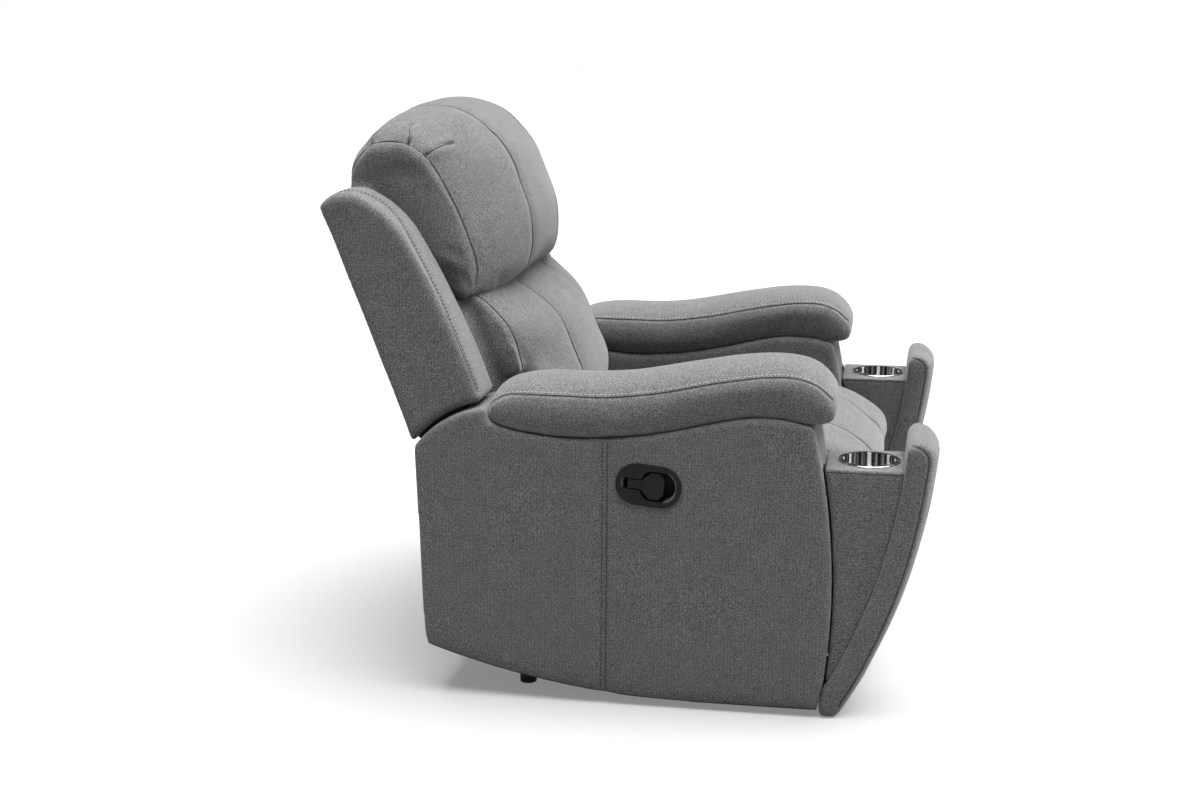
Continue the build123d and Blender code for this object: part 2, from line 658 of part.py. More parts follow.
def soft_back():
    sections = [head_section(-HEAD_HALF - HEAD_GUSSET, 0, 9)]
    for share in LOFT_SHARES:
        sections.append(head_section(share * HEAD_HALF, 1 - abs(share) ** 2.6, 0))
    sections.append(head_section(HEAD_HALF + HEAD_GUSSET, 0, 9))
    save(loft(sections), "head_cushion")

    levels = []
    for share, mid, side, half in LUMBAR_LEVELS:
        z = LUMBAR_LOW + share * (LUMBAR_TOP - LUMBAR_LOW)
        rear = frame_front(z) - SKIN_GAP
        edges = [
            ThreePointArc((-half, side), (0, mid), (half, side)),
            Line((half, side), (half, rear)),
            Line((half, rear), (-half, rear)),
            Line((-half, rear), (-half, side)),
        ]
        levels.append(Pos(0, 0, z) * make_face(edges))
    save(loft(levels), "lumbar_cushion")


def seat_section(x, crown, inset):
    """Side profile of the seat cushion with its front roll."""
    under = SEAT_PLATE_TOP + 2 * WIRE_R + SKIN_GAP
    top = SEAT_TOP + crown - inset
    low_front = (SEAT_FRONT + 36 + inset, SEAT_PLATE_TOP - 10 + inset)
    brow = (SEAT_FRONT + 26 + inset, SEAT_TOP - 35)
    tail = (SEAT_REAR - 50, top - 14)
    edges = [
        Line((SEAT_REAR, under), (SEAT_FRONT + 88, under)),
        Line((SEAT_FRONT + 88, under), low_front),
        ThreePointArc(low_front, (SEAT_FRONT + inset, SEAT_TOP - 94), brow),
        ThreePointArc(brow, (SEAT_FRONT + 82, top - 9), (SEAT_FRONT + 179, top)),
        ThreePointArc((SEAT_FRONT + 179, top), (SEAT_FRONT + 374, top - 3), tail),
        ThreePointArc(tail, (SEAT_REAR - 6, SEAT_TOP - 48), (SEAT_REAR, under)),
    ]
    return Plane.YZ.offset(x) * make_face(edges)


def spring_path(x):
    """Sinuous wire from the front rail to the rear rail."""
    pitch = 43.5
    points = [(x - 20, -318)]
    for turn in range(11):
        side = -20 if turn % 2 == 0 else 20
        y = -318 + pitch * turn
        points += [(x + side, y), (x - side, y)] if turn else [(x - side, y)]
    z = SEAT_PLATE_TOP + WIRE_R + 0.05
    return FilletPolyline(*[(px, py, z) for px, py in points], radius=15), points[0], z


def seat():
    seam = SEAT_HALF - 13
    sections = [seat_section(-SEAT_HALF, 0, 12)]
    for share in LOFT_SHARES:
        sections.append(seat_section(share * seam, SEAT_CROWN * (1 - abs(share) ** 2.4), 0))
    sections.append(seat_section(SEAT_HALF, 0, 12))
    save(loft(sections), "seat_cushion")

    rail_x = (-SEAT_PLATE_X, SEAT_PLATE_X)
    rail_z = (SEAT_PLATE_TOP - 25, SEAT_PLATE_TOP)
    save(block(rail_x, (-335, -295), rail_z), "seat_front_rail")
    save(block(rail_x, (95, 135), rail_z), "seat_rear_rail")

    springs = []
    for x in (-200, -100, 0, 100, 200):
        path, start, z = spring_path(x)
        springs.append(sweep(Plane((*start, z), z_dir=(1, 0, 0)) * Circle(WIRE_R), path=path).solid())
    save(Compound(children=springs), "seat_springs")

    x = (-SEAT_PLATE_X - LINK_T, -SEAT_PLATE_X)
    slot_low = BAR * math.sin(math.radians(ANGLE_FOLDED))
    slot_high = BAR * math.sin(math.radians(ANGLE_OPEN))
    guide = [forward(SCISSOR_HINGE, SCISSOR_SLOPE - 90, d) for d in (0, slot_high, slot_low)]
    plate = block(x, (-342, 145), (SEAT_PLATE_TOP - 42, SEAT_PLATE_TOP))
    plate += block(x, (SCISSOR_HINGE[0] - 20, SCISSOR_HINGE[0] + 26), (SCISSOR_HINGE[1] - 10, SEAT_PLATE_TOP - 42))
    plate += bar(guide[0], guide[2], SEAT_PLATE_X, LINK_T, 14)
    plate -= bar(guide[1], guide[2], SEAT_PLATE_X, LINK_T, PIN_R + 0.2)
    plate += rod(SCISSOR_HINGE, -SEAT_PLATE_X, -A_LINK_X, PIN_R)
    link_pin = seat_link_pin()
    plate += bar((link_pin[0], SEAT_PLATE_TOP - 20), link_pin, SEAT_PLATE_X, LINK_T, 14)
    plate += rod(link_pin, -SEAT_PLATE_X, -A_LINK_X, PIN_R)
    save_pair(plate, "seat_plate")

    glides = []
    tall = (TRACK_Z[0] + TRACK_WALL + 0.2, TRACK_Z[1] - TRACK_WALL - 0.2)
    stem_z = (tall[0], SEAT_PLATE_TOP - 20)
    for y in (-190, 40):
        shoe = block((-ARM_IN + TRACK_WALL + 0.4, -TRACK_X), (y, y + 40), tall)
        shoe += block((-TRACK_X, -SEAT_PLATE_X - LINK_T), (y, y + 40), tall)
        shoe += block((-SEAT_PLATE_X - LINK_T - 3, -SEAT_PLATE_X - LINK_T), (y, y + 40), stem_z)
        glides += [shoe.solid(), mirrored(shoe).solid()]
    save(Compound(children=glides), "seat_glides")


def seat_link_pin():
    foot = forward(PIVOT, -90, BACK_LEVER)
    return (foot[0] - RECLINE_LINK, foot[1])


def recline_links():
    foot = forward(PIVOT, -90, BACK_LEVER)
    pin = seat_link_pin()
    piece = bar(foot, pin, A_LINK_X) + bar(pin, (pin[0] + 1, pin[1]), A_LINK_X, LINK_T, OPEN_PIVOT_R + 5)
    piece -= rod(foot, *THROUGH, PIN_R + RUN_GAP)
    piece -= rod(pin, *THROUGH, OPEN_PIVOT_R)
    save(both(piece), "recline_links")


def scissor(angle):
    """Pivots of the footrest scissor at one bar angle."""
    hinge = SCISSOR_HINGE
    slide = forward(hinge, SCISSOR_SLOPE - 90, BAR * math.sin(math.radians(angle)))
    drive_end = forward(hinge, SCISSOR_SLOPE - angle, BAR)
    cross_end = forward(slide, SCISSOR_SLOPE + angle, BAR)
    board = forward(drive_end, SCISSOR_SLOPE + angle, BAR)
    crossing = middle(drive_end, board)
    tail = forward(crossing, SCISSOR_SLOPE - angle, FRONT_LINK_TAIL)
    return {
        "hinge": hinge,
        "slide": slide,
        "first_crossing": middle(hinge, drive_end),
        "drive_end": drive_end,
        "cross_end": cross_end,
        "board": board,
        "crossing": crossing,
        "tail": tail,
    }


def turned(vector, angle):
    """Turn a (forward, up) vector from forward towards up."""
    turn = math.radians(angle)
    cosine, sine = math.cos(turn), math.sin(turn)
    return (vector[0] * cosine - vector[1] * sine, vector[0] * sine + vector[1] * cosine)


def control_pin():
    """Control pin on the board bracket as (forward, up) from the board's hinge.

    It lies as far from the front link's tail when folded as when open.
    """
    folded, opened = scissor(ANGLE_FOLDED), scissor(ANGLE_OPEN)
    first = (folded["board"][0] - folded["tail"][0], folded["tail"][1] - folded["board"][1])
    last = (opened["board"][0] - opened["tail"][0], opened["tail"][1] - opened["board"][1])
    last = turned(last, -BOARD_TURN)
    span = math.dist(first, last)
    across = ((last[1] - first[1]) / span, (first[0] - last[0]) / span)
    centre = middle(first, last)
    return (centre[0] + CONTROL_SEAT * across[0], centre[1] + CONTROL_SEAT * across[1])


def footrest():
    at = scissor(ANGLE_FOLDED)
    pin_in = B_LINK_X
    a_out = A_LINK_X + LINK_T

    drive = bar(at["hinge"], at["drive_end"], A_LINK_X)
    drive -= rod(at["hinge"], *THROUGH, PIN_R + RUN_GAP)
    for name in ("first_crossing", "drive_end"):
        drive += rod(at[name], -A_LINK_X, -pin_in, PIN_R)
    save_pair(drive, "drive_link")
    save(rod(at["hinge"], -A_LINK_X, A_LINK_X, 10), "drive_shaft")

    cross = bar(at["slide"], at["cross_end"], B_LINK_X)
    cross -= rod(at["first_crossing"], *THROUGH, PIN_R + RUN_GAP)
    cross += rod(at["slide"], -SEAT_PLATE_X - LINK_T, -B_LINK_X, PIN_R)
    cross += rod(at["cross_end"], -a_out, -B_LINK_X, PIN_R)
    save_pair(cross, "cross_link")

    front = bar(at["cross_end"], at["tail"], A_LINK_X)
    front -= rod(at["cross_end"], *THROUGH, PIN_R + RUN_GAP)
    front -= rod(at["crossing"], *THROUGH, PIN_R + 0.3)
    front += rod(at["tail"], -A_LINK_X, -CONTROL_X, PIN_R)
    save_pair(front, "front_link")

    rear = bar(at["drive_end"], at["board"], B_LINK_X)
    rear -= rod(at["drive_end"], *THROUGH, PIN_R + RUN_GAP)
    rear += rod(at["crossing"], -a_out, -B_LINK_X, PIN_R)
    rear += rod(at["board"], -B_LINK_X, -BOARD_BRACKET_X, PIN_R)
    save_pair(rear, "footrest_link")

    hinge = at["board"]
    control = control_pin()
    pin = (hinge[0] - control[0], hinge[1] + control[1])
    board_y = (hinge[0] - BOARD_OFFSET - BOARD_T, hinge[0] - BOARD_OFFSET)
    board_z = (hinge[1] + BOARD_RISE - BOARD_LENGTH, hinge[1] + BOARD_RISE)
    save(block((-BOARD_HALF, BOARD_HALF), board_y, board_z), "footrest_board")

    ear_x = (-BOARD_BRACKET_X - LINK_T, -BOARD_BRACKET_X)
    flange = (hinge[1] - 18, hinge[1] + 10)
    ear = block(ear_x, (board_y[1] - 3, hinge[0] + 2), (pin[1] - 12, flange[1]))
    ear += bar(hinge, (hinge[0] - 1, hinge[1]), BOARD_BRACKET_X, LINK_T, 10)
    ear += block((ear_x[0], -BOARD_HALF + 40), (board_y[1], board_y[1] + 3), flange)
    ear -= rod(hinge, *THROUGH, PIN_R + RUN_GAP)
    ear += rod(pin, -BOARD_BRACKET_X, -CONTROL_X, PIN_R)
    save(both(ear), "footrest_brackets")

    tail = at["tail"]
    link = bar(pin, tail, CONTROL_X)
    link += bar(tail, (tail[0] - 1, tail[1]), CONTROL_X, LINK_T, OPEN_PIVOT_R + 4)
    link -= rod(pin, *THROUGH, PIN_R + RUN_GAP)
    link -= rod(tail, *THROUGH, OPEN_PIVOT_R)
    save(both(link), "control_links")

    layers = []
    for depth, inset, drop in ((0, 3, 2), (14, 0, 0), (30, 0, 0), (FOOT_PAD_T, 18, 16)):
        face = RectangleRounded(2 * (FOOT_PAD_HALF - inset), BOARD_LENGTH + 4 - 2 * drop, 26)
        y = board_y[0] - SKIN_GAP - depth
        layers.append(Plane.XZ.offset(-y) * Pos(0, sum(board_z) / 2 - 2) * face)
    save(loft(layers), "footrest_pad")


def main():
    os.makedirs("parts", exist_ok=True)
    arms()
    arm_pads()
    pods()
    handle()
    base_frame()
    back()
    soft_back()
    seat()
    recline_links()
    footrest()


if __name__ == "__main__":
    main()
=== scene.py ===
"""Looks of the recliner chair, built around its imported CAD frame.

The chair faces -Y, +Z is up and the sitter's right hand is at -X. Blender works in metres.
Places and sizes below are in millimetres unless they say otherwise, and side paths are (Y, Z).
"""
import math

import bmesh
import bpy
import numpy as np
from mathutils import Matrix, Vector, noise
from mathutils.bvhtree import BVHTree


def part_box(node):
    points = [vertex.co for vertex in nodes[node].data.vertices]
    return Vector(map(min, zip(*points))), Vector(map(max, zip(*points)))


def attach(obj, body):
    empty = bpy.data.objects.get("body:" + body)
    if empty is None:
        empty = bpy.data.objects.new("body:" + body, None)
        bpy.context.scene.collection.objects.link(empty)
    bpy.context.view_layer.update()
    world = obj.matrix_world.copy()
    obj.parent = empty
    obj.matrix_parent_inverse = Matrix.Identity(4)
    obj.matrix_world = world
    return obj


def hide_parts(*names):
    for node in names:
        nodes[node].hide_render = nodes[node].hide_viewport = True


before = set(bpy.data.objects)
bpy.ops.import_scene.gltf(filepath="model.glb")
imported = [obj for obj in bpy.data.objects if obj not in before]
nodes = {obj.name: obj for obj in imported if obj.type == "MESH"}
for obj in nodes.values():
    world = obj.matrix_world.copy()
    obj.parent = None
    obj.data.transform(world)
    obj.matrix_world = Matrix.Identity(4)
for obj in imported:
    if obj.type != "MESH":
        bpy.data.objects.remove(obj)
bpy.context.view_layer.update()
scene = bpy.context.scene

MM = 0.001
RIGHT, LEFT = -1, 1
SIDES = (("right", RIGHT), ("left", LEFT))

# Camera at the photograph's viewing angle: place in metres, lens and sensor in millimetres
CAMERA_AT = (-3.2764, -0.4506, 1.1924)
CAMERA_LOOK = (0.96085, 0.16691, -0.22116)
CAMERA_LENS = 52.5
CAMERA_SENSOR = 36

# Studio light, with places and sizes in metres
WORLD_LIGHT = 0.34
SUN_LIGHT = 12.5
SUN_SPREAD = 62.0       # degrees
SUN_FROM = (0.06, -0.14, 0.98)
FILL_AT = (0.5, -3.4, 2.0)
FILL_AIM = (0, 0, 0.6)
FILL_SIZE = 2.4
FILL_POWER = 80.0
FLOOR_HALF = 30
FLOOR_GREY = 0.24
FLOOR_GLOW = 0.22
LIGHT_BANDS = 15.0      # upright bands that shiny metal mirrors, all around
BAND_TURN = -2.2        # radians

# Meshes: remesh sizes, smooth lines and paths thrown onto a surface
VOXEL = 6.0
CUSHION_VOXEL = 8.0
PAD_VOXEL = 7.0
EDGED_VOXEL = 5.0       # wings and front shields
POD_VOXEL = 4.0
CURVE_STEPS = 24        # points between two places of a smooth line
CHUNK = 4000            # points handled at a time
THROW_BACK = 100.0
THROW_REACH = 250.0
TOUCH = 1.0             # points this close to a face count as on it

# Simulated padding: a cover's start inside its form, the pressure and the limit of the swelling
SIM_FRAMES = 16
CLOTH = {
    "quality": 3,
    "mass": 0.3,
    "use_pressure": True,
    "tension_stiffness": 20,
    "compression_stiffness": 20,
    "shear_stiffness": 10,
    "bending_stiffness": 2,
}
HEAD_PADDING = (5.0, 3.0, 12.0)
LUMBAR_PADDING = (4.0, 3.0, 10.0)
SEAT_PADDING = (4.0, 3.0, 10.0)
PAD_PADDING = (1.0, 2.0, 6.0)
FOOTREST_PADDING = (2.0, 2.0, 6.0)
PIN_REACH = 7.0         # cloth this near a seam stays in place
PAD_PIN_REACH = 6.0
ARM_GROWTH = 1.0
SHIELD_GROWTH = 3.0
WING_GROWTH = 3.5

# Slow unevenness of the cloth: height, size and seed
HEAD_CRUMPLE = (1.6, 90, 1)
LUMBAR_CRUMPLE = (1.6, 80, 2)
SEAT_CRUMPLE = (1.6, 90, 3)
PAD_CRUMPLE = (1.0, 70, 4)
ARM_CRUMPLE = (0.6, 160, 5)
POD_CRUMPLE = (0.5, 60, 6)
SHIELD_CRUMPLE = (0.8, 70, 7)
WING_CRUMPLE = (1.2, 110, 8)
BACK_CRUMPLE = (1.2, 140, 9)
VALANCE_CRUMPLE = (1.0, 140, 10)

# Stitches and seams. Pressed lines are (width, depth).
STITCH_PITCH = 7.0
STITCH_LENGTH = 4.0
STITCH_R = 0.85
DARK_STITCH_R = 1.25
STITCH_RING = 6
STITCH_PROFILE = ((-0.5, 0.35), (-0.3, 1.0), (0.3, 1.0), (0.5, 0.35))  # shares of length and radius
# The seam tubes are near-black: partly thread, partly painted shade of the seams' grooves
SEAM_R = 0.85
SEAM_STEP = 4.0
SEAM_LIFT = 0.2
SEAM_REACH = 14.0
SEAM_VALLEY = (14.0, 2.0)
SEAM_CREASE = (2.6, 2.4)
POD_CREASE = (2.6, 1.2)
FOLD_STEP = 2.0
FOLD_REACH = 26.0
FOLD_LINES = ((18.0, -7.0), (5.0, 12.0), (2.4, 5.0))

# Forms added to the back's covers. A half is the half width of a form.
HEAD_FILL = [(512, 884), (420, 900), (330, 780), (300, 690), (449, 700)]
HEAD_FILL_HALF = 316.0
HEAD_REAR = [(516, 872), (470, 878), (420, 800), (400, 700), (449, 700)]
HEAD_REAR_HALF = 337.0
HEAD_SWELLS = [((455, 985), 90, 9), ((225, 880), 85, -19), ((235, 735), 40, 6)]
HEAD_DROP = 26.0                # the head's lower front edge hangs by this much
DROP_UNDER = (800.0, 90.0)      # height where the drop starts, and the way to its full size
DROP_BEFORE = (345.0, 60.0)     # the same along the depth
DROP_MIDDLE = 0.35              # share in the middle, and the distance to the full drop
DROP_SIDE = 200.0
LUMBAR_SIDE = [(430, 690), (292, 686), (262, 662), (236, 628), (214, 590), (201, 546), (209, 545),
               (217, 541), (225, 536), (233, 528), (242, 515), (250, 500), (262, 470), (345, 470)]
LUMBAR_SIDE_HALF = 304.0
LUMBAR_REAR = [(430, 690), (330, 690), (300, 640), (275, 580), (262, 530), (262, 470), (345, 470)]
LUMBAR_REAR_HALF = 328.0
LUMBAR_SKIRT = [(168, 480), (216, 480), (222, 390), (192, 386)]
LUMBAR_SKIRT_HALF = 282.0
LUMBAR_SWELL = ((165, 640), 60, 8)
WING_SWELL = ((498, 872), 45, 5)
BACK_TAIL = [(302, 300), (286, 290), (284, 214), (296, 214)]
BACK_TAIL_HALF = 232.0

# Black sheets that ride on the back and close the slots beside and under the wings: their black is
# painted shade in the slots. A flap lies between two radii around the back's pivot.
PIVOT = (210.0, 324.0)
WING_LOW = 202.5        # radius of a wing's lower edge, and the reach of its thinner padding
WING_THIN = 30.0
FLAP_LOW = 199.8
FLAP_HIGH = 222.0
FLAP_ARC = range(41, 73, 4)     # degrees
FLAP_X = (344.0, 424.0)
SLOT_SHADE_SHEET = [(304, 512), (320, 512), (447, 850), (431, 850)]
SLOT_X = (290.0, 346.0)

# Forms added to the seat's and the footrest's cover
SEAT_APRON = [(-338, 304), (-300, 304), (-304, 246), (-330, 246), (-331, 280), (-338, 284)]
SEAT_APRON_HALF = 228.0
WRAP_FRONT, WRAP_REAR, WRAP_LOW, WRAP_HIGH, WRAP_SIDE = 4.0, 2.0, 3.0, 9.0, 3.0

# Opening for the handle's bezel
HOLE_INSET_Y = 11.0
HOLE_INSET_Z = 10.5
HOLE_TILT = 6.0         # degrees
HOLE_POINTS = 48
HOLE_DEPTH = 30.0

# Seams on the right side, mirrored for the left
SEAM_X = 118.0          # the two long seams of the seat, lumbar and head cushion
HEAD_SIDE_X = 330.0
LUMBAR_SIDE_X = 290.0
SEAT_EDGE_X = 266.0
SEAT_EDGE_DROP = 9.0
ARM_MIDDLE = -371.0
ARM_HALF = 95.0
POD_HALF = 75.0
ARM_SEAM_Y = 27.0
ARM_SEAM_LEAN = ((0, 470), (1, 250), (3, 24))   # shift in Y and height
ARM_ROW = 8.0           # distances of stitch rows from their seams
PAD_ROW = 5.0
WING_ROW = -5.5
BACK_ROWS = (8.0, -8.0, 8.0)
HEM_RISE = 4.0
HEM_INSET = 12.0
HEM_DEPTH = 20.0
HEM_UNDER = -100.0      # rays that find the lower edge start at this height
PAD_SEAM = [(238, 518), (222, 534), (190, 546), (110, 547), (30, 547), (-60, 558), (-150, 577),
            (-230, 590), (-285, 591), (-322, 579), (-347, 556)]
WING_SEAM = [(-426, 517, 866), (-410, 492, 876), (-396, 466, 876), (-384, 445, 868),
             (-382, 423, 854), (-393, 402, 833), (-405, 377, 800), (-411, 355, 762),
             (-417, 333, 720), (-424, 309, 672), (-430, 289, 627), (-432, 272, 584),
             (-431, 256, 545)]
HEAD_SEAM = [(516, 876), (508, 905), (484, 940), (454, 956), (420, 957), (390, 946), (362, 918),
             (330, 862), (303, 800), (287, 744), (288, 708)]
HEAD_FRONT = [(505, 955), (465, 992), (425, 1008), (369, 1014), (322, 999), (285, 969),
              (248, 911), (224, 847), (215, 795), (219, 745), (237, 716)]
LUMBAR_SEAM = [(290, 692), (262, 672), (232, 636), (205, 585), (178, 535), (165, 485)]
LUMBAR_FRONT = [(252, 690), (196, 648), (160, 600), (138, 560), (122, 515), (122, 460)]
SEAT_SEAM = [(140, 400), (108, 428), (20, 440), (-120, 447), (-250, 448), (-350, 436),
             (-408, 408), (-430, 360), (-425, 322)]
PLEATS = [[(-308, 470, 951), (-285, 468, 966), (-262, 456, 975), (-240, 448, 982)],
          [(-308, 403, 955), (-290, 407, 967), (-268, 412, 977), (-248, 410, 984)],
          [(-308, 371, 936), (-289, 361, 944), (-266, 348, 950), (-238, 332, 955)]]
SHIELD_SEAM = [(-478, 484), (-494, 481), (-507, 462), (-501, 400), (-489, 330), (-473, 262),
               (-451, 192), (-423, 122), (-397, 66), (-373, 22)]
POD_EDGE = [(-338, 433), (-400, 433), (-466, 433)]
BACK_SEAM_X = 318.0
BACK_SEAM = [(312, 300), (508, 822)]
VALANCE_HEM_X = 270.0
VALANCE_HEM_Z = 96.0
FOOTREST_SEAM_INSET = 6.0

# Fabric: noise scale of the yarns, and pitch, wandering and share of its two patterns
YARN_SCALE = 900.0
ALONG_YARN, ACROSS_YARN = 0.5, 1.7
WEAVE_PITCH, WEAVE_WANDER, WEAVE_SHARE = 1.8, 4.0, 0.035
SLUB_PITCH, SLUB_WANDER, SLUB_SHARE = 6.0, 0.6, 0.010
WANDER_SCALE = 90.0

# Cups: middle (X, Y), inner radius, and painted reflections: light and dark upright bands around
# the axis, in the metal's colour
CUP_AT = (371.0, -409.25)
CUP_INNER = 44.0
CUP_REFLECTION_BANDS, CUP_REFLECTION_SHARE = 8.0, 0.31
CUP_FINE_REFLECTION_BANDS, CUP_FINE_REFLECTION_SHARE = 22.0, 0.19
CUP_FINE_REFLECTION_TURN = 0.7     # radians


# Meshes


def points_of(obj):
    flat = np.empty(len(obj.data.vertices) * 3, np.float32)
    obj.data.vertices.foreach_get("co", flat)
    return flat.reshape(-1, 3).astype(float)


def normals_of(obj):
    flat = np.empty(len(obj.data.vertices) * 3, np.float32)
    obj.data.vertices.foreach_get("normal", flat)
    return flat.reshape(-1, 3).astype(float)


def set_points(obj, points):
    obj.data.vertices.foreach_set("co", points.astype(np.float32).ravel())
    obj.data.update()


def new_object(name, mesh):
    obj = bpy.data.objects.new(name, mesh)
    scene.collection.objects.link(obj)
    return obj


def copy_node(name, node):
    """New object with the mesh of a CAD node."""
    copy = bmesh.new()
    copy.from_mesh(nodes[node].data)
    bmesh.ops.remove_doubles(copy, verts=copy.verts, dist=1e-5)
    mesh = bpy.data.meshes.new(name)
    copy.to_mesh(mesh)
    copy.free()
    return new_object(name, mesh)


def add_prism(obj, outline, low, high):
    """Join a prism to an object: a (Y, Z) outline between two X places."""
    mesh = bmesh.new()
    mesh.from_mesh(obj.data)
    ends = [[mesh.verts.new((x * MM, y * MM, z * MM)) for y, z in outline] for x in (low, high)]
    count = len(outline)
    faces = [mesh.faces.new(ends[0]), mesh.faces.new(ends[1])]
    for k in range(count):
        n = (k + 1) % count
        faces.append(mesh.faces.new((ends[0][k], ends[0][n], ends[1][n], ends[1][k])))
    bmesh.ops.recalc_face_normals(mesh, faces=faces)
    mesh.to_mesh(obj.data)
    mesh.free()


def swell_at(obj, place, reach, height):
    """Move the surface around a (Y, Z) place outward."""
    points = points_of(obj)
    away = np.hypot(points[:, 1] - place[0] * MM, points[:, 2] - place[1] * MM)
    push = height * MM * np.exp(-((away / (reach * MM)) ** 2))
    set_points(obj, points + normals_of(obj) * push[:, None])


def shrink(obj, depth):
    set_points(obj, points_of(obj) - normals_of(obj) * depth * MM)


def apply_modifiers(obj):
    graph = bpy.context.evaluated_depsgraph_get()
    mesh = bpy.data.meshes.new_from_object(obj.evaluated_get(graph))
    old = obj.data
    obj.modifiers.clear()
    obj.data = mesh
    bpy.data.meshes.remove(old)


def remesh(obj, voxel, rounds):
    """Even quads over the closed form, with its edges softened."""
    grid = obj.modifiers.new("grid", "REMESH")
    grid.mode = "VOXEL"
    grid.voxel_size = voxel * MM
    soft = obj.modifiers.new("soft", "SMOOTH")
    soft.factor = 0.5
    soft.iterations = rounds
    apply_modifiers(obj)


def refine(obj):
    """Split every quad into four, smoothly."""
    finer = obj.modifiers.new("finer", "SUBSURF")
    finer.levels = 1
    finer.render_levels = 1
    apply_modifiers(obj)


def shade_smooth(obj):
    obj.data.polygons.foreach_set("use_smooth", [True] * len(obj.data.polygons))
    obj.data.update()


def mirror_x(obj, name):
    """Copy of an object on the other side."""
    mesh = obj.data.copy()
    mesh.transform(Matrix.Scale(-1, 4, (1, 0, 0)))
    mesh.flip_normals()
    mesh.name = name
    return new_object(name, mesh)


# Seams. A seam is a path in metres with the direction that throws it onto a surface, or None for
# the nearest places.


def line(points, step=SEAM_STEP):
    """Smooth line through points in millimetres, as evenly spaced points in metres."""
    p = np.array(points, float)
    p = np.vstack([2 * p[0] - p[1], p, 2 * p[-1] - p[-2]])
    t = np.linspace(0, 1, CURVE_STEPS, endpoint=False)[:, None]
    fine = []
    for a, b, c, d in zip(p, p[1:], p[2:], p[3:]):
        square = (2 * a - 5 * b + 4 * c - d) * t**2
        cube = (3 * b - a - 3 * c + d) * t**3
        fine.append(0.5 * (2 * b + (c - a) * t + square + cube))
    fine = np.vstack(fine + [p[-2:-1]])
    run = run_along(fine)
    at = np.linspace(0, run[-1], max(2, int(run[-1] / step) + 1))
    return np.column_stack([np.interp(at, run, fine[:, k]) for k in range(3)]) * MM


def run_along(path):
    """Length of a path up to each of its points."""
    return np.concatenate([[0], np.cumsum(np.linalg.norm(np.diff(path, axis=0), axis=1))])


def place_at(path, run, at):
    """Place on a path at a length along it."""
    return np.array([np.interp(at, run, path[:, k]) for k in range(3)])


def at_x(x, pairs):
    return [(x, y, z) for y, z in pairs]


def surface(obj):
    mesh = bmesh.new()
    mesh.from_mesh(obj.data)
    tree = BVHTree.FromBMesh(mesh)
    mesh.free()
    return tree


def even(rows, rounds=2):
    """Moving average along a path, with its ends kept."""
    for _ in range(rounds):
        rows = np.vstack([rows[:1], (rows[:-2] + rows[1:-1] + rows[2:]) / 3, rows[-1:]])
    return rows


def lay(seam, tree):
    """Places of a seam on a surface and the outward directions there."""
    path, toward = seam
    places, outward = [], []
    for p in path:
        start = Vector(p)
        hit = (None, None)
        if toward is not None:
            ahead = Vector(toward)
            hit = tree.ray_cast(start - ahead * THROW_BACK * MM, ahead, THROW_REACH * MM)
        if hit[0] is None:
            hit = tree.find_nearest(start)
        places.append(hit[0])
        outward.append(hit[1])
    return even(np.array(places)), even(np.array(outward))


def laid_on(obj, seams):
    tree = surface(obj)
    return [lay(seam, tree)[0] for seam in seams]


def beside(obj, seam, offset):
    """A row on the surface that runs next to a seam."""
    places, outward = lay(seam, surface(obj))
    along = np.gradient(places, axis=0)
    along /= np.linalg.norm(along, axis=1, keepdims=True) + 1e-9
    return places + np.cross(along, outward) * offset * MM, None


def flip_x(seams):
    """The same seams on the other side."""
    turn = np.array((-1, 1, 1))
    flipped = []
    for path, toward in seams:
        flipped.append((path * turn, None if toward is None else tuple(turn * toward)))
    return flipped


def both(seams):
    return seams + flip_x(seams)


def near(points, path, reach):
    """Index, distance and nearest path number of the points within reach of a path."""
    low, high = path.min(0) - reach, path.max(0) + reach
    inside = np.where(np.all((points > low) & (points < high), axis=1))[0]
    distance, number = np.empty(len(inside)), np.empty(len(inside), int)
    for first in range(0, len(inside), CHUNK):
        part = slice(first, first + CHUNK)
        apart = np.linalg.norm(points[inside[part], None] - path[None], axis=2)
        number[part] = apart.argmin(1)
        distance[part] = apart.min(1)
    keep = distance < reach
    return inside[keep], distance[keep], number[keep]


def pinned_near(obj, paths, reach):
    points = points_of(obj)
    return np.unique(np.concatenate([near(points, path, reach * MM)[0] for path in paths]))


def sink(obj, path, width, depth, fade=None):
    """Press a line into the surface. Fade gives the share of the depth along the line."""
    points, normals = points_of(obj), normals_of(obj)
    index, distance, number = near(points, path, 3 * width * MM)
    if not len(index):
        return
    share = np.ones(len(path)) if fade is None else fade(np.linspace(0, 1, len(path)))
    pull = depth * MM * np.exp(-((distance / (width * MM)) ** 2)) * share[number]
    points[index] -= normals[index] * pull[:, None]
    set_points(obj, points)


def refine_near(obj, paths, reach):
    """Split the quads near some paths."""
    points = points_of(obj)
    chosen = np.zeros(len(points), bool)
    for path in paths:
        chosen[near(points, path, reach * MM)[0]] = True
    mesh = bmesh.new()
    mesh.from_mesh(obj.data)
    edges = [e for e in mesh.edges if chosen[e.verts[0].index] and chosen[e.verts[1].index]]
    bmesh.ops.subdivide_edges(mesh, edges=edges, cuts=1, use_grid_fill=True)
    mesh.to_mesh(obj.data)
    mesh.free()


def press_seams(obj, paths):
    """A wide soft valley and a narrow crease along each seam."""
    refine_near(obj, paths, SEAM_REACH)
    for path in paths:
        sink(obj, path, *SEAM_VALLEY)
        sink(obj, path, *SEAM_CREASE)


# Cloth


def crumple(obj, height, size, seed):
    """Slow uneven swell of cloth over padding."""
    points, normals = points_of(obj), normals_of(obj)
    shift = Vector((seed * 3.7, seed * 1.3, seed * 2.1))
    swell = np.array([noise.noise(Vector(p) / (size * MM) + shift) for p in points])
    set_points(obj, points + normals * (swell * height * MM)[:, None])


